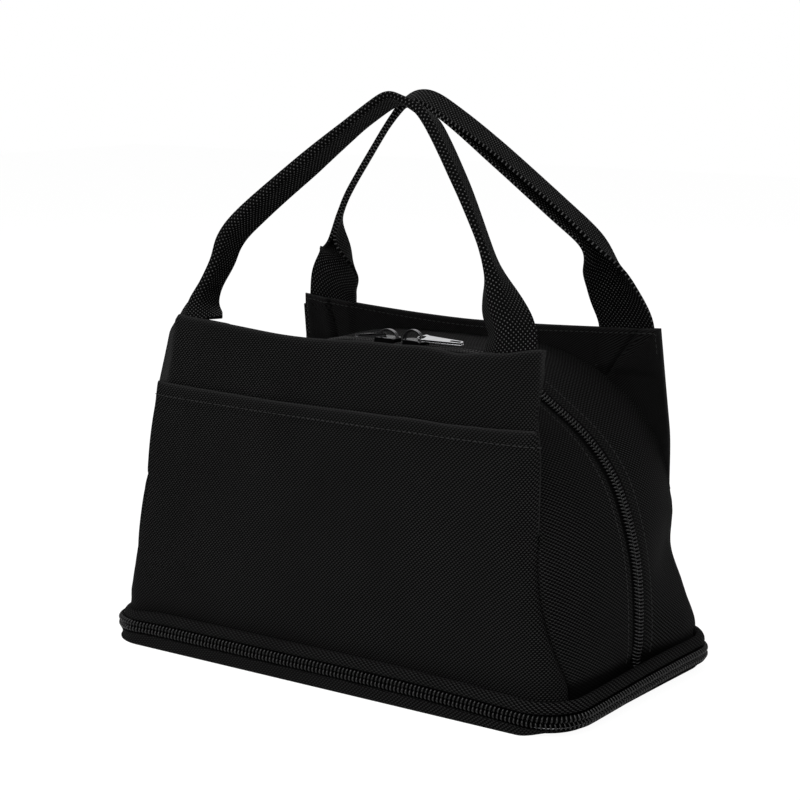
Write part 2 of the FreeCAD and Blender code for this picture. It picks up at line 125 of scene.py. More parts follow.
class Finish:
    """A material: one Principled shader, and the nodes that vary it over a surface."""

    def __init__(self, name, **constants):
        self.material = bpy.data.materials.new(name)
        self.material.use_nodes = True
        self.nodes = self.material.node_tree.nodes
        self.links = self.material.node_tree.links
        self.shader = self.nodes["Principled BSDF"]
        for socket, value in constants.items():
            self.shader.inputs[socket.replace("_", " ")].default_value = value

    def set(self, socket, value):
        if isinstance(value, Wire):
            self.links.new(value.socket, socket)
        else:
            socket.default_value = value

    def node(self, kind, settings=None, sockets=(), output=0):
        """Any node: its type, its settings, the values or links of its sockets, the output wanted."""
        made = self.nodes.new(kind)
        for name, value in (settings or {}).items():
            setattr(made, name, value)
        pairs = sockets.items() if isinstance(sockets, dict) else enumerate(sockets)
        for key, value in pairs:
            self.set(made.inputs[key], value)
        return Wire(self, made.outputs[output])

    def mix(self, share, dark, light):
        """A colour between two, because a Math node would turn colours grey."""
        dark = dark if isinstance(dark, Wire) else (*dark, 1)
        return self.node("ShaderNodeMix", {"data_type": "RGBA"}, {0: share, 6: dark, 7: (*light, 1)}, 2)

    def cloth_place(self, across, along):
        """Where a point lies on its own cloth, counted in threads: the UV map holds metres."""
        flat = self.node("ShaderNodeUVMap", {"uv_map": "weave"})
        x, y = (self.node("ShaderNodeSeparateXYZ", None, [flat], axis) for axis in (0, 1))
        return x * (1 / (across * MM)), y * (1 / (along * MM))

    def grain(self, size):
        """Cloudy unevenness of a given size in millimetres, from 0 to 1."""
        place = self.node("ShaderNodeTexCoord", None, (), "Object")
        values = {"Vector": place, "Scale": 1 / (size * MM), "Detail": 3.0}
        return self.node("ShaderNodeTexNoise", None, values, "Fac")

    def vary(self, **sockets):
        for name, value in sockets.items():
            self.set(self.shader.inputs[name.replace("_", " ")], value)

    def bump(self, height, depth):
        """Raises the surface by a depth in millimetres where the height is 1."""
        values = {"Strength": 1.0, "Distance": depth * MM, "Height": height}
        self.vary(Normal=self.node("ShaderNodeBump", None, values))


print("shader sums ready")

# %% [markdown]
# ## Cloth finishes
#
# The bag is black polyester twill: two threads over, two under, with a step to the side in each row,
# which draws slanting lines. A photographed cloth would carry somebody's light in it, so the weave
# is worked out from the thread count, on the cloth's own flat lengths. The sheen on the crowns of
# the threads on top is painted into the colour. Turned edges are painted a shade lighter, partly
# as wear where threads stand open and partly as a painted highlight, and the cloth beside the seams
# is painted darker, as painted shade. Little specular keeps black cloth black.

# %% Twill
def grey(value):
    return (value,) * 3


def rounded(place, thread):
    """Height of a round thread over its own width."""
    aside = (place - thread) * 2 - 1
    return 1 - aside * aside


def weave(finish, across, along, repeat, lean=1):
    """Of a weave: thread heights, where the warp is on top, steps the other way, and thread crowns."""
    x, y = finish.cloth_place(across, along)
    warp, weft = x.floor(), y.floor()
    over, under = rounded(x, warp), rounded(y, weft)
    on_top = (warp + weft * lean) % repeat < repeat / 2
    crossing = (warp - weft * lean) % repeat < repeat / 2
    return on_top * over + (1 - on_top) * under * 0.7, on_top, crossing, over * under


# The second colour is painted sheen on the crowns of the threads on top; the third is the colour turned edges
# are painted towards, partly wear and partly a painted highlight.
YARN_DARK, CROWN_SHEEN, YARN_WORN_SHEEN = grey(0.0004), grey(0.0225), grey(0.024)


def make_twill(name, warp, weft, lean):
    """Twill with threads of these widths in millimetres, leaning one way or the other."""
    finish = Finish(name, Specular_IOR_Level=0.025)
    height, on_top, crossing, _ = weave(finish, warp, weft, 4, lean)
    cloud = finish.grain(38)
    wear = finish.node("ShaderNodeAttribute", {"attribute_name": "wear"}, (), "Fac")
    # How much painted sheen shows: on the crowns of the threads on top, varied at random.
    share = on_top * (0.15 + crossing * 0.85) * (0.3 + height * 0.4 + cloud * 0.6)
    # Where the edge and seam attribute is negative, the cloth is darkened as painted shade beside the seams.
    cloth = finish.mix(share * (1 + wear * (wear < 0)), YARN_DARK, CROWN_SHEEN)
    # Turned edges are painted lighter: partly wear, partly a painted highlight along the fold.
    finish.vary(Base_Color=finish.mix(wear * 0.6, cloth, YARN_WORN_SHEEN))
    finish.vary(Roughness=0.78 + cloud * 0.2 - on_top * 0.1)
    finish.bump(height, 0.16)
    return finish


twill = make_twill("black_twill", 0.5, 0.5, -1)
strip_twill = make_twill("black_twill_cut_across", 0.7, 0.46, 1)
facing_twill = make_twill("black_twill_inside", 0.32, 0.32, -1)
print("twill:", len(twill.nodes), "nodes")

# %% [markdown]
# The handles are heavy plain webbing, one coarse thread over and one under. The sheen on the crown
# of each thread on top is painted into the colour, so it shows as rows of light dots. The zip tape
# is the same weave, much finer, with a fainter painted sheen.

# %% Webbing and tape
def make_webbing(name, warp, weft, dark, light, depth):
    finish = Finish(name, Specular_IOR_Level=0.04)
    height, on_top, _, crown = weave(finish, warp, weft, 2)
    cloud = finish.grain(9)
    # The light colour is painted sheen, only on the crowns of the threads on top, varied at random.
    finish.vary(Base_Color=finish.mix(on_top * crown ** 5 * (0.5 + cloud), dark, light))
    finish.vary(Roughness=0.85 - on_top * 0.2 + cloud * 0.1)
    finish.bump(height, depth)
    return finish


# Both finishes paint sheen on the thread crowns: grey 0.08 on the webbing, grey 0.004 on the tape.
webbing = make_webbing("handle_webbing", 1.1, 1.25, grey(0.0005), grey(0.08), 0.4)
tape = make_webbing("zip_tape_cloth", 0.45, 0.45, grey(0.0004), grey(0.004), 0.1)
print("webbing and tape ready")

# %% [markdown]
# ## Finishes that aren't woven
#
# The coils are glossy black nylon, the sliders dark plated metal, faintly uneven. One pull has a copy
# of the same metal painted lighter, as a painted highlight. The thread is a dull yarn. Inside are a
# silver film, pale foam and a plain board.

# %% Nylon, metal, thread, film, foam and board
def make_plain(name, size, dark, light, rough, depth, **constants):
    """A finish with one kind of grain: its colours, its range of roughness and its relief."""
    finish = Finish(name, **constants)
    cloud = finish.grain(size)
    finish.vary(Base_Color=finish.mix(cloud, dark, light))
    finish.vary(Roughness=rough[0] + cloud * (rough[1] - rough[0]))
    finish.bump(cloud, depth)
    return finish


POLISH = (0.12, 0.22)
nylon = make_plain("coil_nylon", 2.5, grey(0.001), grey(0.004), POLISH, 0.004, Specular_IOR_Level=0.25)
metal = make_plain("plated_metal", 6.0, grey(0.04), (0.12, 0.12, 0.125), POLISH, 0.0008, Metallic=1.0)
# The same plated metal painted lighter, as a painted highlight, for the right pull only.
lit_metal = make_plain("painted_lit_metal", 6.0, (0.26, 0.26, 0.265), (0.38, 0.38, 0.39), POLISH, 0.0008,
                    Metallic=1.0)
thread = make_plain("sewing_thread", 0.7, grey(0.008), grey(0.03), (0.6, 0.8), 0.05, Specular_IOR_Level=0.1)
film = make_plain("silver_film", 7.0, (0.42, 0.43, 0.45), (0.7, 0.71, 0.73), (0.25, 0.45), 0.35, Metallic=0.7)
foam = make_plain("pale_foam", 1.6, (0.68, 0.68, 0.66), (0.9, 0.9, 0.88), (0.85, 0.98), 0.25)
board = make_plain("base_board_plastic", 3.0, grey(0.05), grey(0.09), (0.5, 0.7), 0.06)
print("plain finishes ready")

# %% [markdown]
# ## Grids become pieces
#
# Nearly every piece is a sheet, so nearly every piece can be a grid of points from a formula. The
# lengths along the grid go into a UV map in metres, so a thread has the same width on every piece.
# Solidify then gives the sheet its thickness, on the inner side.

# %% From a grid to a mesh
def flat_lengths(grid):
    """Distances along the columns and the rows of a grid, from its middle column and first row."""
    across = np.linalg.norm(np.diff(grid, axis=1), axis=2).cumsum(axis=1)
    along = np.linalg.norm(np.diff(grid, axis=0), axis=2).cumsum(axis=0)
    u = np.hstack([np.zeros((len(grid), 1)), across])
    v = np.vstack([np.zeros((1, grid.shape[1])), along])
    return u - u[:, [grid.shape[1] // 2]], v


def link(name, mesh, finish):
    mesh.materials.clear()
    mesh.materials.append(finish.material)
    piece = bpy.data.objects.new(name, mesh)
    bpy.context.scene.collection.objects.link(piece)
    return piece


def grid_piece(name, grid, finish, loop=False, wear=None, straight=False):
    """A mesh from a grid of points in millimetres; a loop joins its last column to its first.

    Straight keeps the threads that run across straight, where the cloth is folded along its length."""
    rows, columns = grid.shape[:2]
    whole = np.concatenate([grid, grid[:, :1]], axis=1) if loop else grid
    u, v = flat_lengths(whole)
    v = v.mean(axis=1, keepdims=True) + 0 * v if straight else v
    row, column = np.meshgrid(np.arange(rows - 1), np.arange(whole.shape[1] - 1), indexing="ij")
    corners = [(row, column), (row, column + 1), (row + 1, column + 1), (row + 1, column)]
    faces = np.stack([r * columns + c % columns for r, c in corners], -1).reshape(-1, 4)
    mesh = bpy.data.meshes.new(name)
    mesh.from_pydata((grid.reshape(-1, 3) * MM).tolist(), [], faces.tolist())
    flat = np.stack([np.stack([u[r, c], v[r, c]], -1) for r, c in corners], 2)
    mesh.uv_layers.new(name="weave").data.foreach_set("uv", (flat * MM).ravel())
    # This attribute carries painted light and shade: positive along turned edges, partly wear and partly a
    # painted highlight; negative beside seams, as painted shade.
    if wear is not None:
        mesh.attributes.new("wear", "FLOAT", "POINT").data.foreach_set("value", wear.ravel())
    mesh.shade_smooth()
    return link(name, mesh, finish)


def settle(piece):
    """Makes the evaluated shape the piece's own mesh, and drops its modifiers."""
    graph = bpy.context.evaluated_depsgraph_get()
    shape = piece.evaluated_get(graph)
    mesh = bpy.data.meshes.new_from_object(shape, preserve_all_data_layers=True, depsgraph=graph)
    mesh.name = piece.name
    piece.modifiers.clear()
    piece.data = mesh
    return piece


def thicken(piece, thickness, offset=-1.0):
    solid = piece.modifiers.new("thickness", "SOLIDIFY")
    solid.thickness = thickness * MM
    solid.offset = offset
    settle(piece)
    piece.data.set_sharp_from_angle(angle=math.radians(50))
    return piece


def cut_sheet(grid, loop=False):
    """Works out the flat lengths and diagonals of a sheet's cut along the finished grid, and keeps none of
    them.
    """
    whole = np.concatenate([grid, grid[:, :1]], axis=1) if loop else grid
    u, v = flat_lengths(whole)
    one, two = whole[1:, 1:] - whole[:-1, :-1], whole[1:, :-1] - whole[:-1, 1:]


def stand_for(node):
    """Hides the solid of the frame that a piece stands for."""
    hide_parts(node)


def sewn_sheet(name, grid, finish, thickness, node, slot, held, rests_on, offset=-1.0, **look):
    """A sheet of cloth from a grid, thickened, hiding the solid it stands for; the slot is not used."""
    piece = thicken(grid_piece(name, grid, finish, **look), thickness, offset)
    cut_sheet(grid)
    stand_for(node)
    return piece


print("grid tools ready")

# %% [markdown]
# ## The shape of the body
#
# Front and rear walls lean in, the ends lean in too, and wide round shoulders lead to a flat top.
# The ends swell between their seams, most along the zip. All of this is one set of formulas, used
# for cloth, foam and film alike, so that the layers lie in each other.

# %% Walls, ends and swell
def box_mm(node):
    low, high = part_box(node)
    return low / MM, high / MM


panel_low, panel_high = box_mm("front_panel")
FOOT, HEM = panel_low.z, panel_high.z
HALF_LENGTH, HALF_WIDTH = box_mm("front_gusset")[1].x, -panel_low.y
CLOTH, FOAM, FILM = 1.0, 4.0, 0.6
TOP = box_mm("front_zip_tape")[1].z + CLOTH
SHOULDER = 86.0
EAR_FOOT, EAR_HALF = 92.0, 114.5
CORNER, SEAM_TURN = 18.5, math.radians(76)
END_LEAN = math.radians(13.67)
WALL_LEAN = {"front": math.radians(8.1), "rear": math.radians(5.6)}
SIGN = {"front": -1, "rear": 1}
ZIP_PLANE, CLOTH_EDGE = 3.0, 6.3
END_SWELL, SHOULDER_FALL, TOP_SWELL, SWELL_TOP = 10.2, 3.0, 1.0, 132.0


def wall(side, z):
    """Distance of the outer face of a wall from the middle plane."""
    return HALF_WIDTH - (z - FOOT) * math.tan(WALL_LEAN[side])


def end_x(z, depth=0.0):
    """Half the length of the body at a height, at a depth below its outer face."""
    lean = HALF_LENGTH - depth / math.cos(END_LEAN) - (z - FOOT) * math.tan(END_LEAN)
    middle = TOP - SHOULDER
    bend = SHOULDER_START + np.sqrt(np.maximum((SHOULDER - depth) ** 2 - (z - middle) ** 2, 0))
    return np.where(z > middle + (SHOULDER - depth) * math.sin(END_LEAN), bend, lean)


SHOULDER_START = (
    HALF_LENGTH - (TOP - FOOT) * math.tan(END_LEAN) - SHOULDER / math.tan((math.pi / 2 + END_LEAN) / 2)
)


def ear_half(z):
    """Half the width of a flap at a height above the foot of its ears."""
    return EAR_HALF + (end_x(EAR_FOOT) - EAR_HALF) * (HEM - z) / (HEM - EAR_FOOT)


def ease(low, high, value):
    """0 below low, 1 above high, and smooth between."""
    share = np.clip((value - low) / (high - low), 0, 1)
    return share * share * (3 - 2 * share)


def hump(value, middle, width):
    """A bell curve: 1 at its middle, and little left two widths away."""
    return np.exp(-(((value - middle) / width) ** 2))


def arc(low, high, value):
    """Half a wave between low and high, and 0 outside them."""
    return np.sin(np.pi * np.clip((value - low) / (high - low), 0, 1))


def swell(z):
    """How far the arch stands out along the zip: most at the ends, a little at the top, least between."""
    out = END_SWELL * arc(FOOT - 2, SWELL_TOP, z) - SHOULDER_FALL * arc(SWELL_TOP, TOP, z)
    return out + TOP_SWELL * ease(150, TOP, z)


def faced(grid, side, kept="front"):
    """A grid with its columns in the order that turns its face outwards on this side."""
    return grid if side == kept else grid[:, ::-1]


def ripple(grid, size, height, seed):
    """Soft unevenness of cloth, the same on every run."""
    aside = Vector((seed * 17.3, seed * 5.1, seed * 9.7))
    values = [noise.noise(Vector(point) / size + aside) for point in grid.reshape(-1, 3)]
    return height * np.array(values).reshape(grid.shape[:2])


print(f"body: foot {FOOT:.1f}, top {TOP:.1f}, shoulders from x = {SHOULDER_START:.1f} mm")

# %% [markdown]
# ## Front and rear panels
#
# A panel is one piece of twill from the base seam to the hem of the flap. Below, it goes a little
# way round the upright corners to a seam on the end; above, its sides are the free edges of the
# flap. A box with bevelled edges would look stiff, so every row of the grid is drawn round its own
# corner radius, and the cloth swells, sags at the hem and rolls in at its free edges.

# %% Panel grid
def corner_share(z):
    """1 at the foot, where the corners are round, and 0 at the foot of the ears."""
    return np.clip((EAR_FOOT - z) / (EAR_FOOT - FOOT), 0, 1)


REAR_SAG, FRONT_SAG, CORNER_LIFT = 5.2, 2.2, 2.4
HEM_WAVES = ((-2.2, -36, 38), (-1.1, 28, 50), (0.6, 14, 18), (1.0, 44, 12), (-1.25, 67, 9))


def hem_sag(side, x):
    """The hems hang between the handles: the rear one like a slack line, the front one in low waves.

    Each wave has a height, a middle and a width."""
    share = np.abs(x) / EAR_HALF
    if side == "rear":
        return -REAR_SAG * (1 - share ** 1.6)
    waves = sum(height * hump(x, middle, width) for height, middle, width in HEM_WAVES)
    return waves - FRONT_SAG * (1 - share ** 4) + CORNER_LIFT * ease(88, 112, x)


def roll(distance, radius):
    """How far a turned edge falls back at a distance from the fold."""
    inside = np.clip(radius - distance, 0, radius)
    return radius - np.sqrt(radius * radius - inside * inside)


WALL_BULGE = 2.6


def relief(side, x, z):
    """How far a wall stands out at a place: foam swells it, and cloth is never quite even."""
    share = np.clip(x / end_x(np.minimum(z, EAR_FOOT)), -1, 1)
    bulge = WALL_BULGE * np.cos(share * np.pi / 2) * arc(FOOT, FOOT + 125, z)
    place = np.stack([x, np.full_like(x, SIGN[side] * 50.0), z], -1)
    return bulge + ripple(place, 42, 0.9, 1 + SIGN[side]) * ease(FOOT, 45, z) * (1 - share ** 6)


def flare(grid):
    """How the ends pull the cloth out of true.

    The front left ear bows out, the front right ear is drawn in, the rear right corner is pinched."""
    x, y, z = (grid[..., axis] for axis in range(3))
    front_left = 6.6 * hump(z, 112, 48) + 2.5 * (1 - ease(50, 95, z)) + 1.3 * ease(125, 140, z)
    front_left -= 5.5 * ease(164, 178, z)
    front_right = -2.7 * hump(z, 146, 13)
    rear_left = 3.7 * ease(105, 135, z)
    rear_right = 3.2 * ease(85, 125, z) - 6.3 * hump(z, 62, 16) + 3.5 * (1 - ease(22, 44, z))
    to_left, to_right = ease(50, 118, -x), ease(50, 118, x)
    grid = grid.copy()
    grid[..., 0] -= front_left * to_left * ease(4, 50, -y)
    grid[..., 0] += front_right * ease(70, 112, x) * ease(20, 48, -y)
    grid[..., 0] += (rear_right * to_right + rear_left * to_left) * ease(8, 52, y)
    return grid


SEAM_TUCK, SEAM_LAP, SEAM_WIDTH = 2.0, 0.8, 1.7
# The second number sets how dark the painted shade beside the seams is.
FOOT_TUCK, PAINTED_SEAM_SHADE = 1.2, 0.9
FINE = np.array([3.0, 2.0, 1.4, 1.0, 0.7, 0.45, 0.25, 0.1, 0.0])


def fine_end(low, high, count):
    """Even steps that get finer in the last few millimetres, where an edge is turned."""
    return np.concatenate([np.linspace(low, high - 4.5, count), high - FINE])


def seam_tuck(distance, soft):
    """How deep cloth lies beside a corner seam: a groove, and an edge turned under the other cloth."""
    groove = SEAM_TUCK * hump(distance, 0, SEAM_WIDTH) + ease(0, SEAM_LAP, SEAM_LAP - distance)
    return groove * ease(0, 0.12, soft)


def foot_tuck(z):
    """How far the cloth turns in where the seam above the welt holds it."""
    return FOOT_TUCK * (1 - ease(FOOT - 4, FOOT + 6, z))


def seam_shade(grid, ends):
    """Painted shade where the cloth is drawn into the seams at its foot and its ends, as a negative amount.
    """
    across, z = flat_lengths(grid)[0], grid[..., 2]
    aside = np.minimum.reduce([np.abs(across - across[:, end:][:, :1]) for end in ends])
    seam_shade_mask = hump(aside, 0, SEAM_WIDTH) * (1 - ease(EAR_FOOT - 8, EAR_FOOT, z))
    return -PAINTED_SEAM_SHADE * np.maximum(seam_shade_mask, hump(np.maximum(z - FOOT - 0.3, 0), 0, 1.5))


def edge_wear_and_sheen(edge, reach=0.9):
    """How much lighter a turned edge is painted, at a distance from it: partly wear, partly a painted
    highlight.
    """
    return np.exp(-edge / reach)


def panel_grid(side, low, high, lift=None, rows=90, levels=None):
    """Points of a wall from one height to another, with a lift away from the panel's face."""
    half = fine_end(0, 120, 56) / 120
    share = np.concatenate([-half[:0:-1], half])[None, :]
    level = (fine_end(low, high, rows) if levels is None else np.array(levels))[:, None]
    share, level = share + 0 * level, level + 0 * share
    raised = lift(level, share) if lift else 0 * level
    soft = corner_share(level)
    radius, turn = np.maximum(CORNER * soft, 1e-3), SEAM_TURN * soft
    reach = np.where(level > EAR_FOOT, ear_half(level), end_x(np.minimum(level, EAR_FOOT)))
    straight = reach - radius
    along = share * (straight + radius * turn + SEAM_LAP * ease(0, 0.12, soft))
    angle = np.maximum(np.abs(along) - straight, 0) / radius
    x = np.sign(along) * (np.minimum(np.abs(along), straight) + (radius + raised) * np.sin(angle))
    back = (radius + raised) * (1 - np.cos(angle))
    z = level + hem_sag(side, x) * ease(120, HEM, level)
    tuck = seam_tuck((1 - np.abs(share)) * reach, soft) + foot_tuck(z)
    y = wall(side, z) + raised - back + relief(side, x, z) - tuck * np.cos(np.minimum(angle, turn))
    x -= np.sign(x) * tuck * np.sin(np.minimum(angle, turn))
    return faced(flare(np.stack([x, SIGN[side] * y, z], -1)), side)


FAR = 99.0


def free_edges(grid):
    """Distance of every point from the hem and from the upright edges of the ears."""
    x, z = grid[..., 0], grid[..., 2]
    upright = np.where(z > EAR_FOOT, ear_half(z) - np.abs(x), FAR)
    return np.minimum(z[-1:] - z, np.maximum(upright, 0))


# %% Panels
PANEL_TUCK, TURNED, BEND_HEIGHT = 6.5, 1.05, 60


def soft_half(piece):
    """Bakes the place of a piece of a half into its mesh."""
    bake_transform(piece)


for side in SIGN:
    grid = panel_grid(side, FOOT - PANEL_TUCK, HEM)
    edge = free_edges(grid)
    grid[..., 1] -= SIGN[side] * roll(edge, TURNED)
    # Along the turned edges the cloth is painted lighter, partly wear and partly a painted highlight; beside
    # the seams it is painted darker, as painted shade.
    wear = edge_wear_and_sheen(edge) + seam_shade(grid, (0, -1))
    panel = sewn_sheet(side + "_panel_cloth", grid, twill, 0.9, side + "_panel", "twill",
                       "stretched", side + "_foam_pad", wear=wear)
    soft_half(panel)

# %% [markdown]
# ## Pocket
#
# The slip pocket is a second layer on the front panel, sewn in at the sides and the foot. Its mouth
# is a turned hem, double and a little thicker, which gapes slightly in the middle. It follows the
# panel's own formula, lifted by the thickness of the cloth, so it can't cut into the panel.

# %% Pocket
POCKET_TOP, POCKET_HEM = box_mm("front_pocket")[1].z, 8.0
POCKET_GAP, HEM_THICK, GAPE = 1.15, 0.7, 1.3


def pocket_lift(level, share):
    """Distance of the pocket from the panel: one cloth, more at the hem, most where it gapes."""
    hem_foot = POCKET_TOP - POCKET_HEM
    hem = HEM_THICK * ease(hem_foot - 0.8, hem_foot + 0.2, level)
    gape = GAPE * np.cos(share * np.pi / 2) * ease(POCKET_TOP - 34, POCKET_TOP, level)
    return (POCKET_GAP + hem + gape) * (1 - np.abs(share) ** 30)


grid = panel_grid("front", FOOT - PANEL_TUCK, POCKET_TOP, pocket_lift, rows=70)
edge = grid[-1:, :, 2] - grid[..., 2]
grid[..., 1] += roll(edge, 0.8)
# The pocket's hem is painted lighter at its edge, partly wear and partly a painted highlight.
pocket = sewn_sheet("front_pocket_cloth", grid, twill, 0.85, "front_pocket", "twill",
                    "stretched", "front_panel_cloth", wear=edge_wear_and_sheen(edge, 0.8))
soft_half(pocket)

# %% [markdown]
# ## Gussets
#
# Two strips of twill run up one end, over the top and down the other, one on each side of the zip.
# Each is drawn along the arch of the bag and across from the zip to the panel. Near the foot it
# turns round the corner to meet the panel's seam; above the ears it runs into the flap. The foam
# behind makes it swell between its two seams.

# %% The arch and a strip along it
def arch(count, depth=0.0, tuck=0.0):
    """Even steps from the right foot over the top to the left foot: x, z and the outward direction."""
    radius = SHOULDER - depth
    middle = TOP - SHOULDER
    upright = np.linspace(FOOT - tuck, middle + radius * math.sin(END_LEAN), 60)
    turn = np.linspace(END_LEAN, math.pi / 2, 90)[1:]
    flat = np.linspace(SHOULDER_START, 0, 40)[1:]
    x = np.concatenate([end_x(upright, depth), SHOULDER_START + radius * np.cos(turn), flat])
    z = np.concatenate([upright, middle + radius * np.sin(turn), np.full(len(flat), TOP - depth)])
    x, z = np.concatenate([x, -x[-2::-1]]), np.concatenate([z, z[-2::-1]])
    length = np.concatenate([[0], np.hypot(np.diff(x), np.diff(z)).cumsum()])
    even = np.linspace(0, length[-1], count)
    x, z = np.interp(even, length, x), np.interp(even, length, z)
    step = np.hypot(np.gradient(x), np.gradient(z))
    return x, z, np.gradient(z) / step, -np.gradient(x) / step


PILLOW, TOP_FALL = 1.3, {"front": 0.75, "rear": 0.0}


def strip_grid(side, depth, near, stops=None, rows=241, columns=25, wrap=1.0, lift=None, tuck=0.0):
    """A strip along the arch, from a distance beside the zip's plane as far as the panel.

    Stops are lengths across the strip, if not all of it; lift raises it by its length across."""
    x, z, out_x, out_z = (line[:, None] for line in arch(rows, depth, tuck))
    soft = corner_share(z)
    radius, turn = np.maximum(CORNER * soft - depth, 1e-3), SEAM_TURN * soft * wrap
    start = SIGN[side] * ZIP_PLANE + near
    behind = CLOTH * (1 - ease(0, 0.1, soft)) * wrap
    straight = wall(side, z) - depth - behind - radius - start
    whole = straight + radius * (math.pi / 2 - turn) + SEAM_LAP * ease(0, 0.12, soft) * wrap
    even = 4.5 + (whole - 9) * np.linspace(0, 1, columns)
    if stops is None:
        length = np.hstack([0 * z + FINE[::-1], even, whole - FINE])
    else:
        length = np.array(stops)[None, :] + 0 * z
    angle = np.clip((length - straight) / radius, 0, math.pi / 2)
    y = start + np.minimum(length, straight) + radius * np.sin(angle)
    seam_at = wall(side, z) - SIGN[side] * ZIP_PLANE - CORNER * soft * (1 - math.pi / 2 + SEAM_TURN * soft)
    share = np.clip((near + np.minimum(length, straight) + CORNER * soft * angle) / seam_at, 0, 1)
    raised = swell(z) * (1 - share ** 2) + PILLOW * np.sin(np.pi * share) * ease(0, 0.2, 1 - share)
    raised *= 1 - TOP_FALL[side] * ease(150, TOP, z) * ease(0, 0.2, share)
    place = np.stack([x + 0 * y, SIGN[side] * y, z + 0 * y], -1)
    raised += ripple(place, 36, 0.7, 5) * np.sin(np.pi * share) ** 0.5
    if lift is not None:
        raised += lift(length)
    seam, bent = seam_tuck(whole - length, soft) + foot_tuck(z), math.pi / 2 - angle
    fall = np.sign(out_x) * (radius * (1 - np.cos(angle)) + seam * np.sin(bent))
    y -= seam * np.cos(bent)
    grid = flare(np.stack([x - fall + out_x * raised, SIGN[side] * y, z + out_z * raised], -1))
    return faced(grid, side, "rear")


# %% Gussets
for side in SIGN:
    grid = strip_grid(side, 0.0, CLOTH_EDGE, lift=lambda length: -roll(length, 1.4), tuck=PANEL_TUCK)
    across = flat_lengths(grid)[0]
    edge = across - across[:, :1] if side == "rear" else across[:, -1:] - across
    # Along the zip edge the cloth is painted lighter, partly wear and partly a painted highlight; beside the
    # seams it is painted darker, as painted shade.
    wear = 0.5 * edge_wear_and_sheen(edge) + seam_shade(grid, (-1 if side == "rear" else 0,))
    gusset = sewn_sheet(side + "_gusset_cloth", grid, strip_twill, 0.9, side + "_gusset", "twill",
                        "stretched", side + "_gusset_pad", wear=wear)
    soft_half(gusset)

# %% [markdown]
# ## Flap facings
#
# Each flap is lined with a facing, sewn to the panel along the hem and the ears and turned out, so
# that it fills the space between the arch of the gusset and the free edges. The strap ends push it
# up, and on the rear flap a crease runs down beside each strap.

# %% Facings
STRAP_REACH, STRAP_HALF = 95.5, 16.0
CREASES = {"front": (), "rear": (((100, 170), (85, 149)), ((-94.5, 173), (-90.8, 149)))}


def outer_line(side, count):
    """The free edges of a flap from the right ear's foot round to the left ear's foot."""
    up = np.linspace(EAR_FOOT + 1.5, HEM, 50)
    ear = ear_half(up)
    across = np.linspace(EAR_HALF, -EAR_HALF, count)[1:-1]
    x = np.concatenate([ear, across, -ear[::-1]])
    z = np.concatenate([up, np.full(count - 2, HEM), up[::-1]])
    return x, z + hem_sag(side, x) * ease(120, HEM, z)


def inner_line(x, z):
    """Where lines from the free edges towards the middle of the wall reach the gusset's arch."""
    arch_x, arch_z, _, _ = arch(900, -0.4)
    hub = 60.0
    arch_x, arch_z = arch_x[arch_z > hub], arch_z[arch_z > hub]
    turn = np.arctan2(arch_z - hub, arch_x)
    reach = np.interp(np.arctan2(z - hub, x), turn, np.hypot(arch_x, arch_z - hub))
    whole = np.hypot(x, z - hub)
    share = np.minimum(reach / whole, 1)
    return x * share, hub + (z - hub) * share


def crease(x, z, line):
    """A fold in the facing: a groove along the line, with a soft ridge on its outer side."""
    (x0, z0), (x1, z1) = line
    length = math.hypot(x1 - x0, z1 - z0)
    aside = ((x - x0) * (z1 - z0) - (z - z0) * (x1 - x0)) / length * math.copysign(1, x0)
    along = ((x - x0) * (x1 - x0) + (z - z0) * (z1 - z0)) / length
    held = 1 - ease(length - 6, length + 10, along)
    return (1.8 * hump(aside, -3.5, 4.5) - 2.2 * hump(aside, 0, 1)) * held


def facing_grid(side, count=150):
    x1, z1 = outer_line(side, count)
    x0, z0 = inner_line(x1, z1)
    share = fine_end(0, 25, 20)[:, None] / 25
    x, z = x0 + (x1 - x0) * share, z0 + (z1 - z0) * share
    strap = ease(-19, -14, -np.abs(np.abs(x) - STRAP_REACH)) * ease(148, 154, z)
    depth = 2.1 + 1.7 * strap + sum(crease(x, z, line) for line in CREASES[side])
    edge = np.hypot(x1 - x, z1 - z)
    depth -= roll(edge, TURNED) * (1 + strap)
    y = SIGN[side] * (wall(side, z) + relief(side, x, z) - depth)
    return faced(flare(np.stack([x, y, z], -1)), side), faced(edge, side)


for side in SIGN:
    grid, edge = facing_grid(side)
    # The facing is painted lighter along its turned edges, partly wear and partly a painted highlight.
    facing = sewn_sheet(side + "_facing_cloth", grid, facing_twill, 0.8, side + "_flap_facing", "twill",
                        "folded", side + "_panel_cloth", wear=edge_wear_and_sheen(edge))
    soft_half(facing)

# %% [markdown]
# ## Foam and film
#
# Between cloth and lining lie foam pads, and the lining is a silver film. They show only when the
# bag is open or cut, but they carry the shape, so they are made from the same formulas, deeper in.
# Beside the zip the film turns up to the tape and closes the edge.

# %% Wall pads, gusset pads and lining
PAD_TOP, PAD_BOTTOM, PAD_GAP, PAD_EDGE = 2.0, 4.65, 2.5, 9.3


def wall_grid(side, depth, rows=60, columns=81):
    """The wall under the arch at a depth, almost as far out as the round corners begin."""
    rise = np.sin(np.linspace(0, math.pi / 2, rows))[:, None]
    z = (FOOT + (TOP - depth - FOOT) * rise) * np.ones((1, columns))
    half = end_x(z, depth) - np.maximum(CORNER * corner_share(z) - depth, 0) - PAD_GAP
    x = np.linspace(-1, 1, columns)[None, :] * half
    y = SIGN[side] * (wall(side, z) + relief(side, x, z) - depth)
    return faced(flare(np.stack([x, y, z], -1)), side)


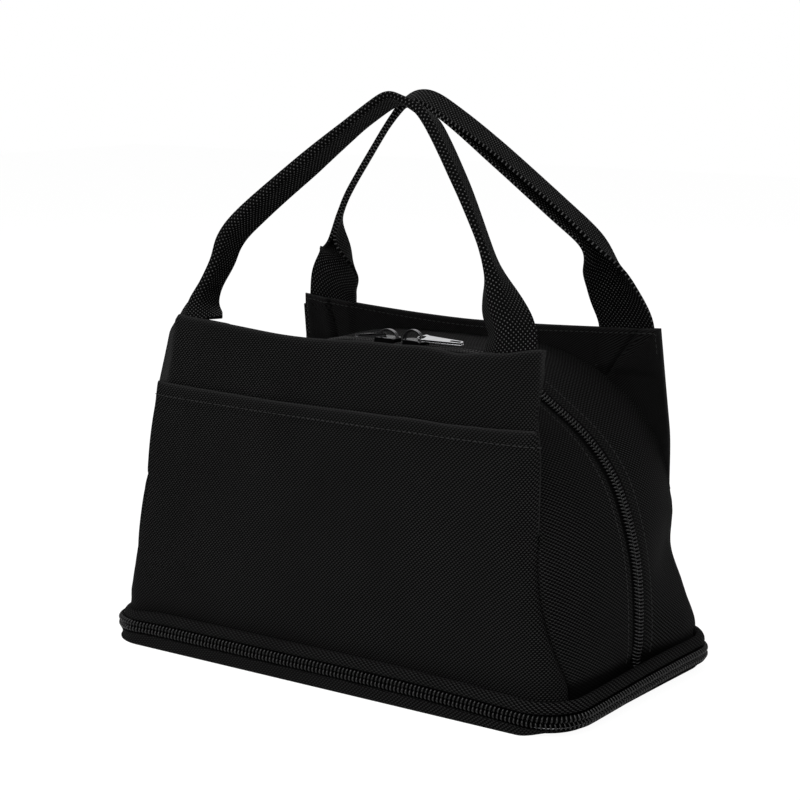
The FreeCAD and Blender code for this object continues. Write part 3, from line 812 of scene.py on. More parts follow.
def join(name, pieces):
    """One piece from several, all in the finish of the first."""
    shape = bmesh.new()
    for piece in pieces:
        shape.from_mesh(piece.data)
    mesh = bpy.data.meshes.new(name)
    material = pieces[0].data.materials[0]
    shape.to_mesh(mesh)
    shape.free()
    for piece in pieces:
        bpy.data.objects.remove(piece)
    made = bpy.data.objects.new(name, mesh)
    mesh.materials.append(material)
    bpy.context.scene.collection.objects.link(made)
    return made


deep = CLOTH + FOAM + FILM
for side in SIGN:
    wall_pad = grid_piece(side + "_foam_pad", wall_grid(side, PAD_TOP), foam)
    strip = strip_grid(side, PAD_TOP, PAD_EDGE, columns=15, rows=161)
    strip = strip[:, :-len(FINE)] if side == "rear" else strip[:, len(FINE):]
    gusset_pad = grid_piece(side + "_gusset_pad", strip, foam)
    for pad, node in ((wall_pad, side + "_foam"), (gusset_pad, side + "_gusset_foam")):
        thicken(pad, PAD_BOTTOM - PAD_TOP)
        stand_for(node)
        soft_half(pad)
    wall_film = wall_grid(side, deep)[:, ::-1]
    strip_film = strip_grid(side, deep, CLOTH_EDGE, wrap=0.0,
                            lift=lambda length: 2.9 * ease(-3, 0, -length))[:, ::-1]
    films = [thicken(grid_piece("film", grid, film), 0.4) for grid in (wall_film, strip_film)]
    lining = join(side + "_lining_film", films)
    stand_for(side + "_lining")
    soft_half(lining)
print("foam and film of both halves made")

# %% [markdown]
# ## Zips
#
# A coil zip is one nylon thread wound into loops on each tape; the loops of the two sides lock
# between each other. Modelling every loop by hand would be endless, so one Geometry Nodes tree bends
# a short wire and repeats it along a line at a given pitch. The same tree makes the stitches, since
# a stitch is a short bent wire too.

# %% Bits of wire along a line
def wire_tree():
    """Short bent wires along a line: pitch, start, the three points of the bend, and the thickness."""
    tree = bpy.data.node_groups.new("bits_of_wire", "GeometryNodeTree")
    tree.interface.new_socket("Geometry", in_out="OUTPUT", socket_type="NodeSocketGeometry")
    inputs = {"Line": "Geometry", "Pitch": "Float", "Start": "Float", "From": "Vector", "Over": "Vector",
              "To": "Vector", "Wire": "Float", "Material": "Material"}
    for name, kind in inputs.items():
        tree.interface.new_socket(name, in_out="INPUT", socket_type="NodeSocket" + kind)
    given = tree.nodes.new("NodeGroupInput")

    def node(kind, settings=None, **sockets):
        made = tree.nodes.new(kind)
        for name, value in (settings or {}).items():
            setattr(made, name, value)
        for name, value in sockets.items():
            socket = made.inputs[name.replace("_", " ")]
            if isinstance(value, bpy.types.NodeSocket):
                tree.links.new(value, socket)
            else:
                socket.default_value = value
        return made

    line = node("GeometryNodeMeshToCurve", Mesh=given.outputs["Line"])
    length = node("GeometryNodeCurveLength", Curve=line.outputs[0])
    trim = node("GeometryNodeTrimCurve", {"mode": "LENGTH"}, Curve=line.outputs[0])
    lengths = [socket for socket in trim.inputs if socket.type == "VALUE" and socket.enabled]
    tree.links.new(given.outputs["Start"], lengths[-2])
    tree.links.new(length.outputs[0], lengths[-1])
    spots = node("GeometryNodeResampleCurve", {"mode": "LENGTH"}, Curve=trim.outputs[0],
                 Length=given.outputs["Pitch"])
    out = node("GeometryNodeInputNamedAttribute", {"data_type": "FLOAT_VECTOR"}, Name="out")
    tangent = node("GeometryNodeInputTangent")
    ahead = node("FunctionNodeAlignRotationToVector", {"axis": "X"}, Vector=tangent.outputs[0])
    turned = node("FunctionNodeAlignRotationToVector", {"axis": "Z", "pivot_axis": "X"},
                  Rotation=ahead.outputs[0], Vector=out.outputs[0])
    bend = node("GeometryNodeCurveQuadraticBezier", Resolution=7, Start=given.outputs["From"],
                Middle=given.outputs["Over"], End=given.outputs["To"])
    rim = node("GeometryNodeCurvePrimitiveCircle", Resolution=6, Radius=given.outputs["Wire"])
    bit = node("GeometryNodeCurveToMesh", Curve=bend.outputs[0], Profile_Curve=rim.outputs[0],
               Fill_Caps=True)
    bits = node("GeometryNodeInstanceOnPoints", Points=spots.outputs[0], Instance=bit.outputs[0],
                Rotation=turned.outputs[0])
    real = node("GeometryNodeRealizeInstances", Geometry=bits.outputs[0])
    smooth = node("GeometryNodeSetShadeSmooth", Geometry=real.outputs[0])
    finished = node("GeometryNodeSetMaterial", Geometry=smooth.outputs[0],
                    Material=given.outputs["Material"])
    result = tree.nodes.new("NodeGroupOutput")
    tree.links.new(finished.outputs[0], result.inputs[0])
    return tree


WIRE_TREE = wire_tree()


def wires(name, points, out, finish, pitch, bend, thickness, start=0.0):
    """One mesh of wires along a line of points; out is the direction away from the surface."""
    mesh = bpy.data.meshes.new(name)
    edges = [(number, number + 1) for number in range(len(points) - 1)]
    mesh.from_pydata((points * MM).tolist(), edges, [])
    mesh.attributes.new("out", "FLOAT_VECTOR", "POINT").data.foreach_set("vector", np.ravel(out))
    piece = link(name, mesh, finish)
    repeat = piece.modifiers.new("wires", "NODES")
    repeat.node_group = WIRE_TREE
    values = {"Pitch": pitch * MM, "Start": start * MM, "Wire": thickness / 2 * MM,
              "Material": finish.material}
    values.update(zip(("From", "Over", "To"), ([part * MM for part in point] for point in bend)))
    for item in WIRE_TREE.interface.items_tree:
        if item.name in values:
            repeat[item.identifier] = values[item.name]
    settle(piece)
    print(name, len(piece.data.polygons), "faces")
    return piece


# %% [markdown]
# The main zip follows the arch. Each tape lies just under the edge of its gusset, and its coil lies
# on the tape with the loops reaching a little past the middle.

# %% Tapes and coils of the main zip
COIL_PITCH, COIL_WIRE = 1.8, 1.15
TAPE_WIDTH, TAPE_DEPTH, TAPE_TUCK = 10.6, 1.25, 5


def arch_out(tuck=0.0):
    """Outward directions along the arch, in the same steps as a strip."""
    _, _, out_x, out_z = arch(241, 0.0, tuck)
    return np.stack([out_x, 0 * out_x, out_z], -1)


for side in SIGN:
    way = -SIGN[side]
    grid = strip_grid(side, TAPE_DEPTH, 1.0, stops=np.linspace(0, TAPE_WIDTH, 8), tuck=TAPE_TUCK)
    strip = sewn_sheet(side + "_tape_cloth", grid, tape, 0.45, side + "_zip_tape", "zip_tape",
                       "stretched", side + "_gusset_cloth")
    soft_half(strip)
    line = strip_grid(side, 0.0, 0.0, stops=[0.0], tuck=TAPE_TUCK)[:, 0]
    out = arch_out(TAPE_TUCK)
    bend = ((0.5, way * 2.9, -1.4), (0.0, way * 2.2, 2.8), (-0.5, way * 0.3, -1.4))
    coil = wires(side + "_coil_wire", line, out, nylon, COIL_PITCH, bend, COIL_WIRE,
                 start=0.5 + (COIL_PITCH / 2 if side == "rear" else 0))
    stand_for(side + "_zip_coil")
    soft_half(coil)

# %% [markdown]
# ## Base
#
# A flat tray of twill holds a board, foam and film. A zip runs all round it, and a padded welt lies
# above. Each of these is a small profile carried round the same rounded rectangle.

# %% Rings
base_high = box_mm("base_panel")[1]
ROUND = 25.0
TRAY_RIM, WELT_LOW, WELT_TOP = 7.2, 14.2, 20
HALF_X, HALF_Y = base_high.x + 2, base_high.y


def ring(inset):
    """The outline of the base, from the middle of the rear round by the left, front and right."""
    half_x, half_y, radius = HALF_X - inset, HALF_Y - inset, max(ROUND - inset, 0.8)
    corners = ((-1, 1, 90), (-1, -1, 180), (1, -1, 270), (1, 1, 0))
    spots = [np.array([[0.0, half_y]])]
    for side_x, side_y, begin in corners:
        turn = np.radians(np.linspace(begin, begin + 90, 19))
        middle = (side_x * (half_x - radius), side_y * (half_y - radius))
        bend = np.stack([middle[0] + radius * np.cos(turn), middle[1] + radius * np.sin(turn)], -1)
        spots += [spots[-1][-1] + (bend[0] - spots[-1][-1]) * np.linspace(0, 1, 42)[1:-1, None], bend]
    spots.append(spots[-1][-1] + (spots[0][0] - spots[-1][-1]) * np.linspace(0, 1, 42)[1:-1, None])
    return np.concatenate(spots)


def dip(x, y):
    """How far the loaded base sinks below its true height: most at the front right corner."""
    corner = np.exp(-((x - 135) ** 2 + (y + 68) ** 2) / 55 ** 2)
    return 1.0 + 2.5 * corner + 0.4 * ease(100, 140, x) + 1.0 * ease(100, 140, -x)


def proud(x, y, height):
    """The zip stands out between welt and tray at the ends and the front; the welt gives way on the left."""
    zip_level = ease(5.5, 8.5, height) * (1 - ease(12.8, 14, height))
    out = 3.2 * zip_level * np.sign(x) * ease(105, 140, np.abs(x))
    out += 1.5 * ease(13, 15, height) * ease(105, 140, -x)
    return x + out, y - 1.3 * zip_level * ease(45, 75, -y)


def ring_grid(profile, sink=True):
    """A profile of (inset, height) carried round the base; up on the outside means normals out."""
    rows = []
    for inset, height in profile:
        x, y = ring(inset).T
        z = np.full(len(x), float(height))
        if sink:
            z -= dip(x, y) * min(height / TRAY_RIM, 1)
            z -= 1.6 * ease(WELT_LOW, WELT_TOP, height) * ease(100, 140, -x)
            x, y = proud(x, y, height)
        rows.append(np.column_stack([x, y, z]))
    return np.stack(rows)


def weld(piece, fill=False):
    """Closes a profile on itself, and with fill also covers what stays open."""
    shape = bmesh.new()
    shape.from_mesh(piece.data)
    bmesh.ops.remove_doubles(shape, verts=shape.verts, dist=1e-6)
    if fill:
        rim = [edge for edge in shape.edges if edge.is_boundary]
        made = bmesh.ops.holes_fill(shape, edges=rim, sides=0)["faces"]
        bmesh.ops.triangulate(shape, faces=made)
        flat = shape.loops.layers.uv["weave"]
        for face in shape.faces:
            if abs(face.normal.z) > 0.75:
                for loop in face.loops:
                    loop[flat].uv = loop.vert.co.xy
        bmesh.ops.recalc_face_normals(shape, faces=shape.faces)
    shape.to_mesh(piece.data)
    shape.free()
    piece.data.shade_smooth()
    piece.data.set_sharp_from_angle(angle=math.radians(50))
    return piece


def base_piece(name, profile, finish, node, body, fill=False):
    """A piece from a profile round the base, riding on a body; without one, it is drawn without the sag and
    rides on nothing.
    """
    piece = weld(grid_piece(name, ring_grid(profile, bool(body)), finish, loop=True), fill)
    stand_for(node)
    if body:
        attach(piece, body)
    return piece


# %% Tray, welt, floor and folded gusset
def tray_grid():
    """The tray: its lower edge is sharp along the sides and soft at the right end, where it curves up."""
    rim = [(0.2, 6.4), (0.8, 7.1), (1.7, 7.2), (2.5, 6.7), (2.8, 5.5), (2.8, 4), (6, 3.4), (60, 1.4)]
    sharp_edge = [(6, 0), (0, 0), (-0.9, 0.1), (-0.9, 0.5), (-0.3, 1.6), (0, 4.2)]
    soft_edge = [(12, 1.8), (6, 3.4), (3.2, 4.6), (1.4, 5.4), (0.5, 6.0), (0.1, 6.3)]
    sharp, soft = (ring_grid([(60, 0.1), (20, 0)] + edge + rim) for edge in (sharp_edge, soft_edge))
    ahead = np.gradient(ring(0), axis=0)
    share = ease(0.02, 0.8, ahead[:, 1] / np.linalg.norm(ahead, axis=1))
    return sharp + (soft - sharp) * share[None, :, None]


tray = weld(grid_piece("base_panel_cloth", tray_grid(), twill, loop=True), fill=True)
stand_for("base_panel")
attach(tray, "base")
board_profile = [(60, 1.6), (15, 1.6), (14.2, 1.9), (14, 2.6), (14.3, 3.1), (15, 3.3), (60, 3.3)]
base_piece("base_board_sheet", board_profile, board, "base_board", "base", fill=True)
welt_profile = [(5.5, 14.3), (3.0, 14.2), (1.2, 14.3), (0.35, 14.9), (0.05, 16.0), (0.25, 17.3), (0.9, 18.6),
                (1.9, 19.6), (3.0, 20.0), (4.1, 19.7), (5.0, 18.7), (5.5, 17), (5.5, 14.3)]
welt = base_piece("base_welt_cloth", welt_profile, strip_twill, "base_welt", "seam_ring")
pad_profile = [(60, 3.3), (8, 3.3), (4.2, 3.5), (3.7, 4.4), (3.7, 6.2), (4.4, 7.0), (8, 7.1), (60, 7.1)]
floor_pad = base_piece("base_foam_pad", pad_profile, foam, "base_foam", "base", fill=True)
floor_profile = [(60, 7.3), (4, 7.3), (3.7, 7.5), (4, 7.75), (60, 7.75)]
floor_film = base_piece("base_lining_film", floor_profile, film, "base_lining", "base",
                        fill=True)

fold_profile = [(5.9, 8.3), (12, 8.2), (20, 8.3), (22, 8.9), (22.7, 10.9), (22, 12.9), (20, 13.4), (12, 13.5),
                (5.9, 13.4)]
sheets = {
    "expansion_gusset_cloth": (fold_profile[::-1], twill, "expansion_gusset", "twill", None, 0.5, "folded"),
    "base_lower_tape_cloth": ([(7.4, 1.7), (3.6, 1.9), (3.1, 2.6), (3.0, 6), (2.95, 10.3)], tape,
                              "base_lower_tape", "zip_tape", "base", 0.35, "stretched"),
    "base_upper_tape_cloth": ([(2.95, 11.1), (3.0, 13.2), (3.6, 13.95), (6, 14.05), (11, 14.05)], tape,
                              "base_upper_tape", "zip_tape", "seam_ring", 0.3, "stretched"),
    "seam_binding_cloth": ([(10.4, 19.3), (10.4, 15.4), (9.9, 14.8), (8.8, 14.8), (8.3, 15.4), (8.3, 19.3)],
                           tape, "seam_binding", "zip_tape", "seam_ring", 0.4, "folded"),
}
for name, (profile, finish, node, slot, body, thickness, held) in sheets.items():
    piece = thicken(base_piece(name, profile, finish, node, body), thickness)
    cut_sheet(ring_grid(profile, bool(body)), loop=True)
    if not body:
        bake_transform(piece)

# %% Coils of the base zip
BASE_PITCH = 2.3
line = ring_grid([(1.95, 10.7)])[0]
line = np.vstack([line, line[:1]])[4:-3]
ahead = np.gradient(line, axis=0)
out = np.stack([ahead[:, 1], -ahead[:, 0], 0 * ahead[:, 0]], -1)
out /= np.linalg.norm(out, axis=1)[:, None]
for name, way, body in (("base_lower_coil", -1, "base"), ("base_upper_coil", 1, "seam_ring")):
    bend = ((0.3, way * 3.0, -1.0), (0.0, way * 1.6, 1.7), (-0.3, way * 0.1, -1.0))
    coil = wires(name + "_wire", line, out, nylon, BASE_PITCH, bend, COIL_WIRE,
                 start=1.0 + (way + 1) * BASE_PITCH / 4)
    stand_for(name)
    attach(coil, body)

# %% Tab over the ends of the base zip
tab_low, tab_high = box_mm("base_zip_end_tab")
tab_top = tab_high.z + 2.2
u, v = np.meshgrid(np.linspace(tab_low.x, tab_high.x, 45), np.linspace(tab_low.z, tab_top, 25))
edge = np.minimum.reduce([u - tab_low.x, tab_high.x - u, v - tab_low.z, tab_top - v])
grid = np.stack([u, tab_high.y - roll(edge, 0.8), v], -1)[:, ::-1]
# The tab is painted lighter along its turned edges, partly wear and partly a painted highlight.
tab = sewn_sheet("base_zip_end_tab_cloth", grid, twill, 0.8, "base_zip_end_tab", "twill",
                 "stretched", "base_panel_cloth", wear=edge_wear_and_sheen(edge))
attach(tab, "base")

# %% [markdown]
# ## Handles
#
# Each handle is one length of webbing, sewn flat between flap and facing, then folded lengthwise for
# the grip, so that it bends sharply at the top. The middle line is a smooth line through stations,
# and the section folds more and more along it: each half is turned until its edges meet.
#
# Each station has a place, a height above the hinge, a share of folding and a twist in degrees. A
# fitting program outside this lesson found most of these numbers from the outline of the straps in
# the photo. A line drawn by hand through fewer points would be easier to read and to change.

# %% Handle lines and folding section
HANDLE_LEAN = {"front": math.radians(15.4), "rear": math.radians(18.8)}
HANDLE_LINE = {
    "front": [(-101.6, -6, 0.23, 1), (-102.8, -2, 0.4, -5), (-103.9, 5, 0.66, -16), (-99.8, 15, 0.85, -14),
              (-95, 28, 0.82, -10), (-92.8, 40, 0.76, -9), (-82.2, 54, 0.76, -3), (-49.8, 82, 0.82, -1),
              (-22.5, 103.2, 0.92, -7), (-6.8, 115, 0.93, -5), (-0.6, 118.3, 0.98, 2), (7.1, 116.8, 1, 8),
              (23.4, 108.7, 0.85, 12), (48.6, 77.5, 0.86, 15), (68, 49, 0.99, 13), (78, 32, 0.73, 22),
              (83.1, 20, 0.58, 15), (88.9, 9, 0.53, 4), (91.9, -2, 0.37, 0), (92.9, -6, 0.2, -2)],
    "rear": [(-91, -8, 0, 0), (-91, -4, 0, -1), (-88.1, 7, 0, -4), (-84.1, 13, 0, -16),
             (-79.4, 19, 0.21, -12), (-74.7, 24.6, 0.46, -9), (-73.3, 30.3, 0.66, -1), (-74, 35.5, 0.84, 7),
             (-74.6, 41, 1, 17),
             (-74.4, 46, 1, 25), (-64.7, 61, 1, 22), (-45.2, 83, 1, 16), (-24.9, 105.2, 1, 17),
             (-11.7, 116.4, 0.95, 12), (-2.6, 120.3, 0.92, -1), (6, 119.4, 0.96, -3), (16.5, 113.2, 1, -5),
             (40, 94, 0.87, -6), (72.5, 64, 0.84, -8), (90.6, 46, 0.87, -8),
             (94.6, 32, 0.52, -1), (96.7, 14, 0.34, -2), (98.1, -4, 0.02, 1), (98, -8, 0, 1)],
}
STRAP_THICK, STRAP_DEPTH = 1.6, 1.2
FLAT_BEND, SHARP_BEND, FULL_FOLD = 11.0, 1.6, math.radians(91)
FOLD_REACH, LINE_REACH = 7, {"front": 16, "rear": 26}
hinges = {joint["name"]: Vector(joint["pos_m"]) / MM for joint in frame["joints"] if "pos_m" in joint}


def calm(values, reach):
    """Values along a line, each averaged with those within reach of it."""
    window = np.hanning(2 * reach + 3)[1:-1] / (reach + 1)
    return np.convolve(np.pad(values, reach, mode="edge"), window, "valid")


def smooth_line(points, count):
    """A smooth line through stations, in even steps; fold and twist change evenly between them."""
    points = np.array(points, float)
    ends = np.vstack([2 * points[0] - points[1], points, 2 * points[-1] - points[-2]])
    place = np.linspace(0, len(points) - 1.001, 40 * len(points))
    first = place.astype(int)
    a, b, c, d = (ends[first + step] for step in range(4))
    f = (place - first)[:, None]
    line = (2 * b + (c - a) * f + (2 * a - 5 * b + 4 * c - d) * f ** 2 + (3 * b - a - 3 * c + d) * f ** 3) / 2
    line[:, 2:] = (b + (c - b) * f)[:, 2:]
    length = np.concatenate([[0], np.linalg.norm(np.diff(line[:, :2], axis=0), axis=1).cumsum()])
    even = np.linspace(0, length[-1], count)
    line = np.stack([np.interp(even, length, line[:, axis]) for axis in range(line.shape[1])], -1)
    reach = int(FOLD_REACH / even[1])
    return np.column_stack([line[:, :2], calm(line[:, 2], reach), calm(line[:, 3], reach)])


def folded_section(fold, twist, columns):
    """The section of a strap, folded and twisted: places across and inwards, from edge to edge."""
    step = np.linspace(0, STRAP_HALF, columns)
    bend = FLAT_BEND + (SHARP_BEND - FLAT_BEND) * fold
    heading = FULL_FOLD * ease(0, 1, fold) * ease(0, bend, step)
    width = np.diff(step)
    middle = (heading[1:] + heading[:-1]) / 2
    across = np.concatenate([[0], (np.cos(middle) * width).cumsum()])
    inwards = np.concatenate([[0], (np.sin(middle) * width).cumsum()])
    across, inwards = np.concatenate([-across[:0:-1], across]), np.concatenate([inwards[:0:-1], inwards])
    side, front = math.sin(twist), math.cos(twist)
    return across * front + inwards * side, inwards * front - across * side


def handle_grid(side, rows=261, columns=25):
    line = smooth_line(HANDLE_LINE[side], rows)
    reach = int(LINE_REACH[side] / np.linalg.norm(line[1, :2] - line[0, :2]))
    ahead = np.stack([calm(way, reach) for way in np.gradient(line[:, :2], axis=0).T], -1)
    ahead /= np.linalg.norm(ahead, axis=1)[:, None]
    hinge, lean = hinges[side + "_handle_swing"], HANDLE_LEAN[side]
    grid = []
    for (x, up, fold, twist), (ahead_x, ahead_up) in zip(line, ahead):
        across, inwards = folded_section(min(max(fold, 0), 1), math.radians(twist), columns)
        aside, rise, deep = x + across * ahead_up, up - across * ahead_x, inwards + STRAP_DEPTH
        lean_in = np.where(rise > 0, math.sin(lean), math.sin(WALL_LEAN[side]))
        y = hinge.y - SIGN[side] * (rise * lean_in + deep * math.cos(lean))
        grid.append(np.stack([aside, y, hinge.z + rise * math.cos(lean) - deep * math.sin(lean)], -1))
    return faced(np.apply_along_axis(calm, 0, np.array(grid), reach // 3), side)


# %% Handles and their sewn-in ends
for side in SIGN:
    grid = handle_grid(side)
    handle = sewn_sheet(side + "_handle_webbing", grid, webbing, STRAP_THICK, side + "_handle", "webbing",
                        "folded", side + "_panel_cloth", offset=0, straight=True)
    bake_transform(handle)
    for end, way in (("left", -1), ("right", 1)):
        u, v = np.meshgrid(np.linspace(-STRAP_HALF, STRAP_HALF, 13), np.linspace(152, 169, 13))
        x = way * STRAP_REACH + u
        y = SIGN[side] * (wall(side, v) + relief(side, x, v) - 1.05)
        grid = faced(np.stack([x, y, v], -1), side)
        strap = sewn_sheet(f"{side}_{end}_strap_webbing", grid, webbing, STRAP_THICK,
                           f"{side}_{end}_strap_end", "webbing", "laid", side + "_panel_cloth")
        soft_half(strap)

# %% [markdown]
# ## Sliders and pulls
#
# A slider is a small die casting: a shield-shaped plate, lips round the coils and an arch for the
# pull. The pull is stamped from sheet. All are flat shapes with softened edges, so a filled curve
# with a small bevel makes each one, holes included.

# %% Flat metal shapes
CORNER_STEPS = 6


def rounded_outline(corners, radii):
    """A closed outline with every corner rounded, by one radius or by a list of them."""
    spots = []
    for number, radius in enumerate(np.broadcast_to(radii, len(corners))):
        here, last, following = (Vector(corners[(number + step) % len(corners)]) for step in (0, -1, 1))
        to_last, to_next = (last - here).normalized(), (following - here).normalized()
        half = to_last.angle(to_next) / 2
        middle = here + (to_last + to_next).normalized() * radius / math.sin(half)
        start, stop = (here + way * radius / math.tan(half) - middle for way in (to_last, to_next))
        spots += [middle + start.slerp(stop, share) for share in np.linspace(0, 1, CORNER_STEPS)]
    return spots


def oblong(x0, x1, half, radius):
    return rounded_outline([(x0, -half), (x1, -half), (x1, half), (x0, half)], radius)


def bow(middle, half, foot, top):
    """Half an ellipse that stands on a foot."""
    turns = np.linspace(0, math.pi, 25)
    return [(middle + half * math.cos(turn), foot + (top - foot) * math.sin(turn)) for turn in turns]


def flat_metal(name, outlines, thickness, place, bevel=0.3, finish=metal):
    """A sheet of metal from outlines, the later ones being holes, set in place by a matrix."""
    curve = bpy.data.curves.new(name, "CURVE")
    curve.dimensions, curve.fill_mode = "2D", "BOTH"
    curve.extrude, curve.bevel_depth = (thickness / 2 - bevel) * MM, bevel * MM
    curve.offset, curve.bevel_resolution = -bevel * MM, 2
    for outline in outlines:
        spline = curve.splines.new("POLY")
        spline.points.add(len(outline) - 1)
        spline.use_cyclic_u = True
        for point, spot in zip(spline.points, outline):
            point.co = (spot[0] * MM, spot[1] * MM, 0, 1)
    drawn = bpy.data.objects.new(name, curve)
    bpy.context.scene.collection.objects.link(drawn)
    graph = bpy.context.evaluated_depsgraph_get()
    mesh = bpy.data.meshes.new_from_object(drawn.evaluated_get(graph))
    bpy.data.objects.remove(drawn)
    local = place.copy()
    local.translation = place.translation * MM
    mesh.transform(local)
    mesh.shade_smooth()
    mesh.set_sharp_from_angle(angle=math.radians(40))
    return link(name, mesh, finish)


def turn(axis, degrees):
    return Matrix.Rotation(math.radians(degrees), 4, axis)


def shift(x, y, z):
    return Matrix.Translation((x, y, z))


def metal_body(piece, name):
    """Lets a piece of metal stand for the solid of a name, and ride on the body of that name."""
    stand_for(name)
    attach(piece, name)


# %% Sliders and pulls
ARCH_THICK, UNDER_THICK, LIP_THICK = 1.9, 1.0, 0.9


def slider(name, place, half, plate, arch_top, under=None, arch_at=0.3):
    """A plate above the coils and an arch; with under also a plate below them, and lips at the sides."""
    shield = [(-6.5, -half * 0.72), (6.5, -half), (6.5, half), (-6.5, half * 0.72)]
    upright = turn("X", 90)
    low, high = plate
    outline = [rounded_outline(shield, 1.4)]
    loop = [bow(arch_at, 6.3, high - 0.6, arch_top), bow(arch_at, 5.0, high + 0.1, arch_top - 1.15)]
    parts = [flat_metal("plate", outline, high - low, place @ shift(0, 0, (low + high) / 2), 0.4),
             flat_metal("arch", loop, ARCH_THICK, place @ upright, 0.35)]
    if under:
        parts.append(flat_metal("under", outline, UNDER_THICK, place @ shift(0, 0, under)))
        corners = [(-5.2, low - 2), (5.6, low - 2), (5.6, high - 0.3), (-5.2, high - 0.3)]
        for way in (-1, 1):
            tilt = shift(0.2, way * half * 0.84, 0) @ turn("Z", way * 5.4)
            lip = [rounded_outline(corners, 0.6)]
            parts.append(flat_metal("lip", lip, LIP_THICK, place @ tilt @ upright))
    metal_body(join(name + "_metal", parts), name)


PULL_HALF, PULL_ROUND, PULL_END_ROUND = 3.25, 1.85, 3.2


def pull(name, place, thickness, finish=metal, eye=(3.6, 1.0), end=26.5):
    """A stamped tab, with an eye of a given end and half width for the arch, and a hole near its end."""
    neck = eye[1] + 0.9
    upper = [(end, PULL_HALF), (5.5, PULL_HALF), (3, neck), (-0.65, neck)]
    body = [(x, -y) for x, y in upper[::-1]] + upper
    rounding = [PULL_END_ROUND if x == end else PULL_ROUND for x, _ in body]
    hole = oblong(end - 10.8, end - 1.9, 1.9, 1.8)
    outlines = [rounded_outline(body, rounding), oblong(0.65, eye[0], eye[1], 0.5), hole]
    metal_body(flat_metal(name + "_metal", outlines, thickness, place, finish=finish), name)


def middle_x(node):
    return sum(corner.x for corner in box_mm(node)) / 2


SLIDER_HEIGHT, BASE_ZIP_HEIGHT = 163, 9.7
main_slider = {"half": 4.5, "plate": (0.8, 2.4), "under": -3.7}
right_place, left_place = (
    shift(middle_x(name), ZIP_PLANE, SLIDER_HEIGHT) for name in ("right_slider", "left_slider")
)
slider("right_slider", right_place, arch_top=7.7, arch_at=-0.9, **main_slider)
slider("left_slider", left_place @ turn("Z", 180), arch_top=6.6, **main_slider)
slider("base_slider", shift(26, 77.5, BASE_ZIP_HEIGHT) @ turn("X", -90), 3.1, (0.3, 1.3), 4.2)
right_place = shift(*hinges["right_pull_swing"]) @ shift(0, 0, -0.6) @ turn("Y", 1) @ turn("X", 15)
left_place = shift(hinges["left_pull_swing"].x, 5.35, 166.2) @ turn("Z", -90) @ turn("Y", -5)
# The right pull is painted in the lighter copy of the metal, as a painted highlight; the left pull is in the
# plain plated metal.
pull("right_pull", right_place, 1.3, lit_metal, eye=(3.9, 1.5), end=29.5)
pull("left_pull", left_place, 1.3, eye=(9.8, 1.75))
pull("base_pull", shift(28.65, 79.8, BASE_ZIP_HEIGHT) @ turn("X", -90), 1.0)
print("three sliders and three pulls made")

# %% [markdown]
# ## Stitches
#
# Thread holds the bag together: a row below the pocket's mouth, a row inside each hem, and a row
# beside the zip on each gusset. Each row is the wire tree again, on a line that lies on the cloth.

# %% Rows of stitches
STITCH, STITCH_PITCH, STITCH_WIRE = ((-1.15, 0, -0.3), (0, 0, 0.5), (1.15, 0, -0.3)), 3.1, 0.42
HEM_STITCH, ZIP_STITCH, POCKET_STITCH = 3.6, 5.0, 7.0


def stitches(name, points, out):
    out = np.broadcast_to(out, points.shape)
    row = wires(name, points, out, thread, STITCH_PITCH, STITCH, STITCH_WIRE)
    soft_half(row)


def wall_out(side):
    """The direction out of a leaning wall."""
    return np.array([0, SIGN[side] * math.cos(WALL_LEAN[side]), math.sin(WALL_LEAN[side])])


for side in SIGN:
    grid, edge = facing_grid(side)
    row = [[np.interp(HEM_STITCH, edge[::-1, column], grid[::-1, column, axis]) for axis in range(3)]
           for column in range(grid.shape[1]) if grid[-1, column, 2] > 165]
    stitches(side + "_facing_stitches", np.array(row), -wall_out(side))
    beside = strip_grid(side, 0.0, CLOTH_EDGE, stops=[ZIP_STITCH])[:, 0]
    stitches(side + "_gusset_stitches", beside, arch_out())
levels = [POCKET_TOP - POCKET_STITCH, POCKET_TOP]
row = panel_grid("front", 0, 0, pocket_lift, levels=levels)[0]
stitches("pocket_stitches", row, wall_out("front"))

# %% [markdown]
# ## Floor, light and camera
#
# The bag stands in a plain white studio. White comes from the floor and the world as the camera sees
# them, not from more light on the bag, and the floor keeps a faint shadow.

# %% Floor and world
def studio_mix(tree, dark, light, target, sees):
    """Mixes two shaders by what kind of ray is looking."""
    rays = tree.nodes.new("ShaderNodeLightPath")
    mix = tree.nodes.new("ShaderNodeMixShader")
    seen = rays.outputs[sees[0]]
    for name in sees[1:]:
        either = tree.nodes.new("ShaderNodeMath")
        either.operation = "MAXIMUM"
        tree.links.new(seen, either.inputs[0])
        tree.links.new(rays.outputs[name], either.inputs[1])
        seen = either.outputs[0]
    tree.links.new(seen, mix.inputs[0])
    tree.links.new(dark.outputs[0], mix.inputs[1])
    tree.links.new(light.outputs[0], mix.inputs[2])
    tree.links.new(mix.outputs[0], target)


world = bpy.data.worlds.new("studio")
world.use_nodes = True
bpy.context.scene.world = world
tree = world.node_tree
ambient, white = tree.nodes["Background"], tree.nodes.new("ShaderNodeBackground")
ambient.inputs["Color"].default_value = (1, 1, 1, 1)
ambient.inputs["Strength"].default_value = 0.37
white.inputs["Color"].default_value = (1, 1, 1, 1)
white.inputs["Strength"].default_value = 1.0
target = tree.nodes["World Output"].inputs[0]
studio_mix(tree, ambient, white, target, ("Is Camera Ray", "Is Transmission Ray"))

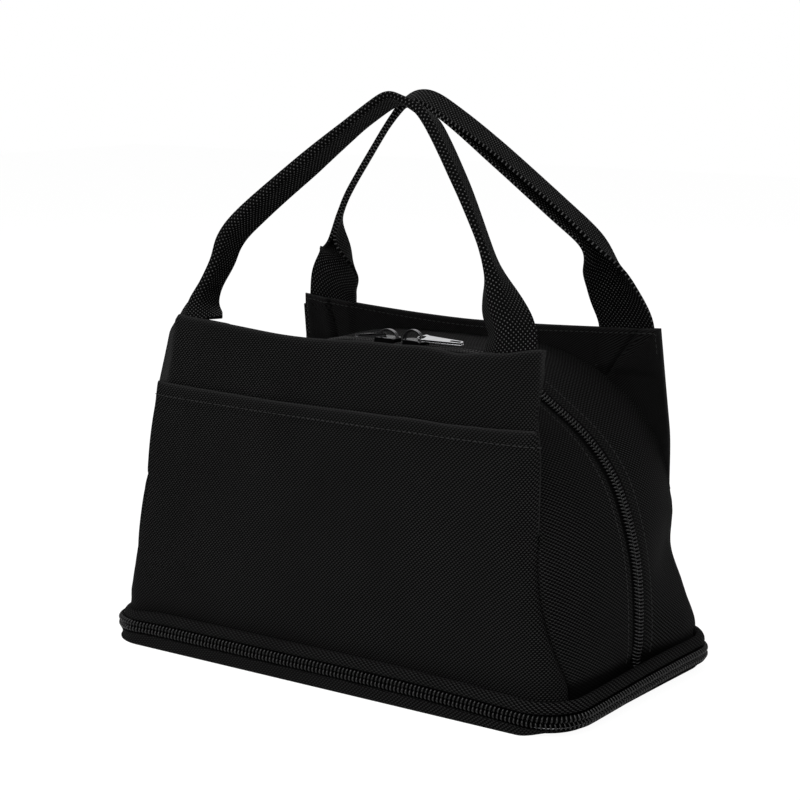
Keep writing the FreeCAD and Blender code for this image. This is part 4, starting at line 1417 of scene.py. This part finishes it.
mesh = bpy.data.meshes.new("floor")
mesh.from_pydata([(-3, -3, 0), (3, -3, 0), (3, 3, 0), (-3, 3, 0)], [], [(0, 1, 2, 3)])
paper = Finish("white_paper")
floor = link("floor", mesh, paper)
tree = paper.material.node_tree
kinds = ("BsdfDiffuse", "Emission", "MixShader")
matt, glow, blend = (tree.nodes.new("ShaderNode" + kind) for kind in kinds)
matt.inputs["Color"].default_value = (0.9, 0.9, 0.9, 1)
glow.inputs["Strength"].default_value = 1.06
blend.inputs[0].default_value = 0.9
tree.links.new(matt.outputs[0], blend.inputs[1])
tree.links.new(glow.outputs[0], blend.inputs[2])
studio_mix(tree, matt, blend, tree.nodes["Material Output"].inputs[0], ("Is Camera Ray",))

# %% Lights
def outwards(azimuth, elevation):
    """The direction from the bag towards a place given by its angles, from the front and from the floor."""
    around, lift = math.radians(azimuth), math.radians(elevation)
    return Vector((math.sin(around) * math.cos(lift), -math.cos(around) * math.cos(lift), math.sin(lift)))


def soft_light(name, azimuth, elevation, distance, size, power):
    """A square area light that looks at the middle of the bag."""
    way = outwards(azimuth, elevation)
    lamp = bpy.data.lights.new(name, "AREA")
    lamp.energy, lamp.size = power, size
    light = bpy.data.objects.new(name, lamp)
    light.location = BAG_MIDDLE + way * distance
    light.rotation_euler = way.to_track_quat("Z", "Y").to_euler()
    bpy.context.scene.collection.objects.link(light)


BAG_MIDDLE = Vector((0, 0, 0.13))
soft_light("key", -15, 50, 1.7, 1.2, 21)
soft_light("fill", 46, 32, 1.8, 1.4, 12)
soft_light("top", 50, 72, 1.6, 1.2, 6)
soft_light("back", 205, 38, 1.8, 1.4, 7)
print("floor, world and four lights")

# %% Camera
AZIMUTH, ELEVATION = 36.08, 10.58
DISTANCE, AIM_ASIDE, AIM_HEIGHT = 1088.46, -3.44, 133.77
FOCAL_PIXELS, PICTURE_PIXELS, SENSOR = 2101.66, 800, 36.0
right = Vector((math.cos(math.radians(AZIMUTH)), math.sin(math.radians(AZIMUTH)), 0))
back = outwards(AZIMUTH, ELEVATION)
camera = bpy.data.objects.new("camera", bpy.data.cameras.new("camera"))
bpy.context.scene.collection.objects.link(camera)
camera.data.sensor_width = SENSOR
camera.data.lens = FOCAL_PIXELS / PICTURE_PIXELS * SENSOR
camera.location = (right * AIM_ASIDE + Vector((0, 0, AIM_HEIGHT)) + back * DISTANCE) * MM
camera.rotation_euler = back.to_track_quat("Z", "Y").to_euler()
bpy.context.scene.camera = camera
print(f"camera: {camera.data.lens:.1f} mm lens")

# %% Colour view
bpy.context.scene.view_settings.view_transform = "Standard"
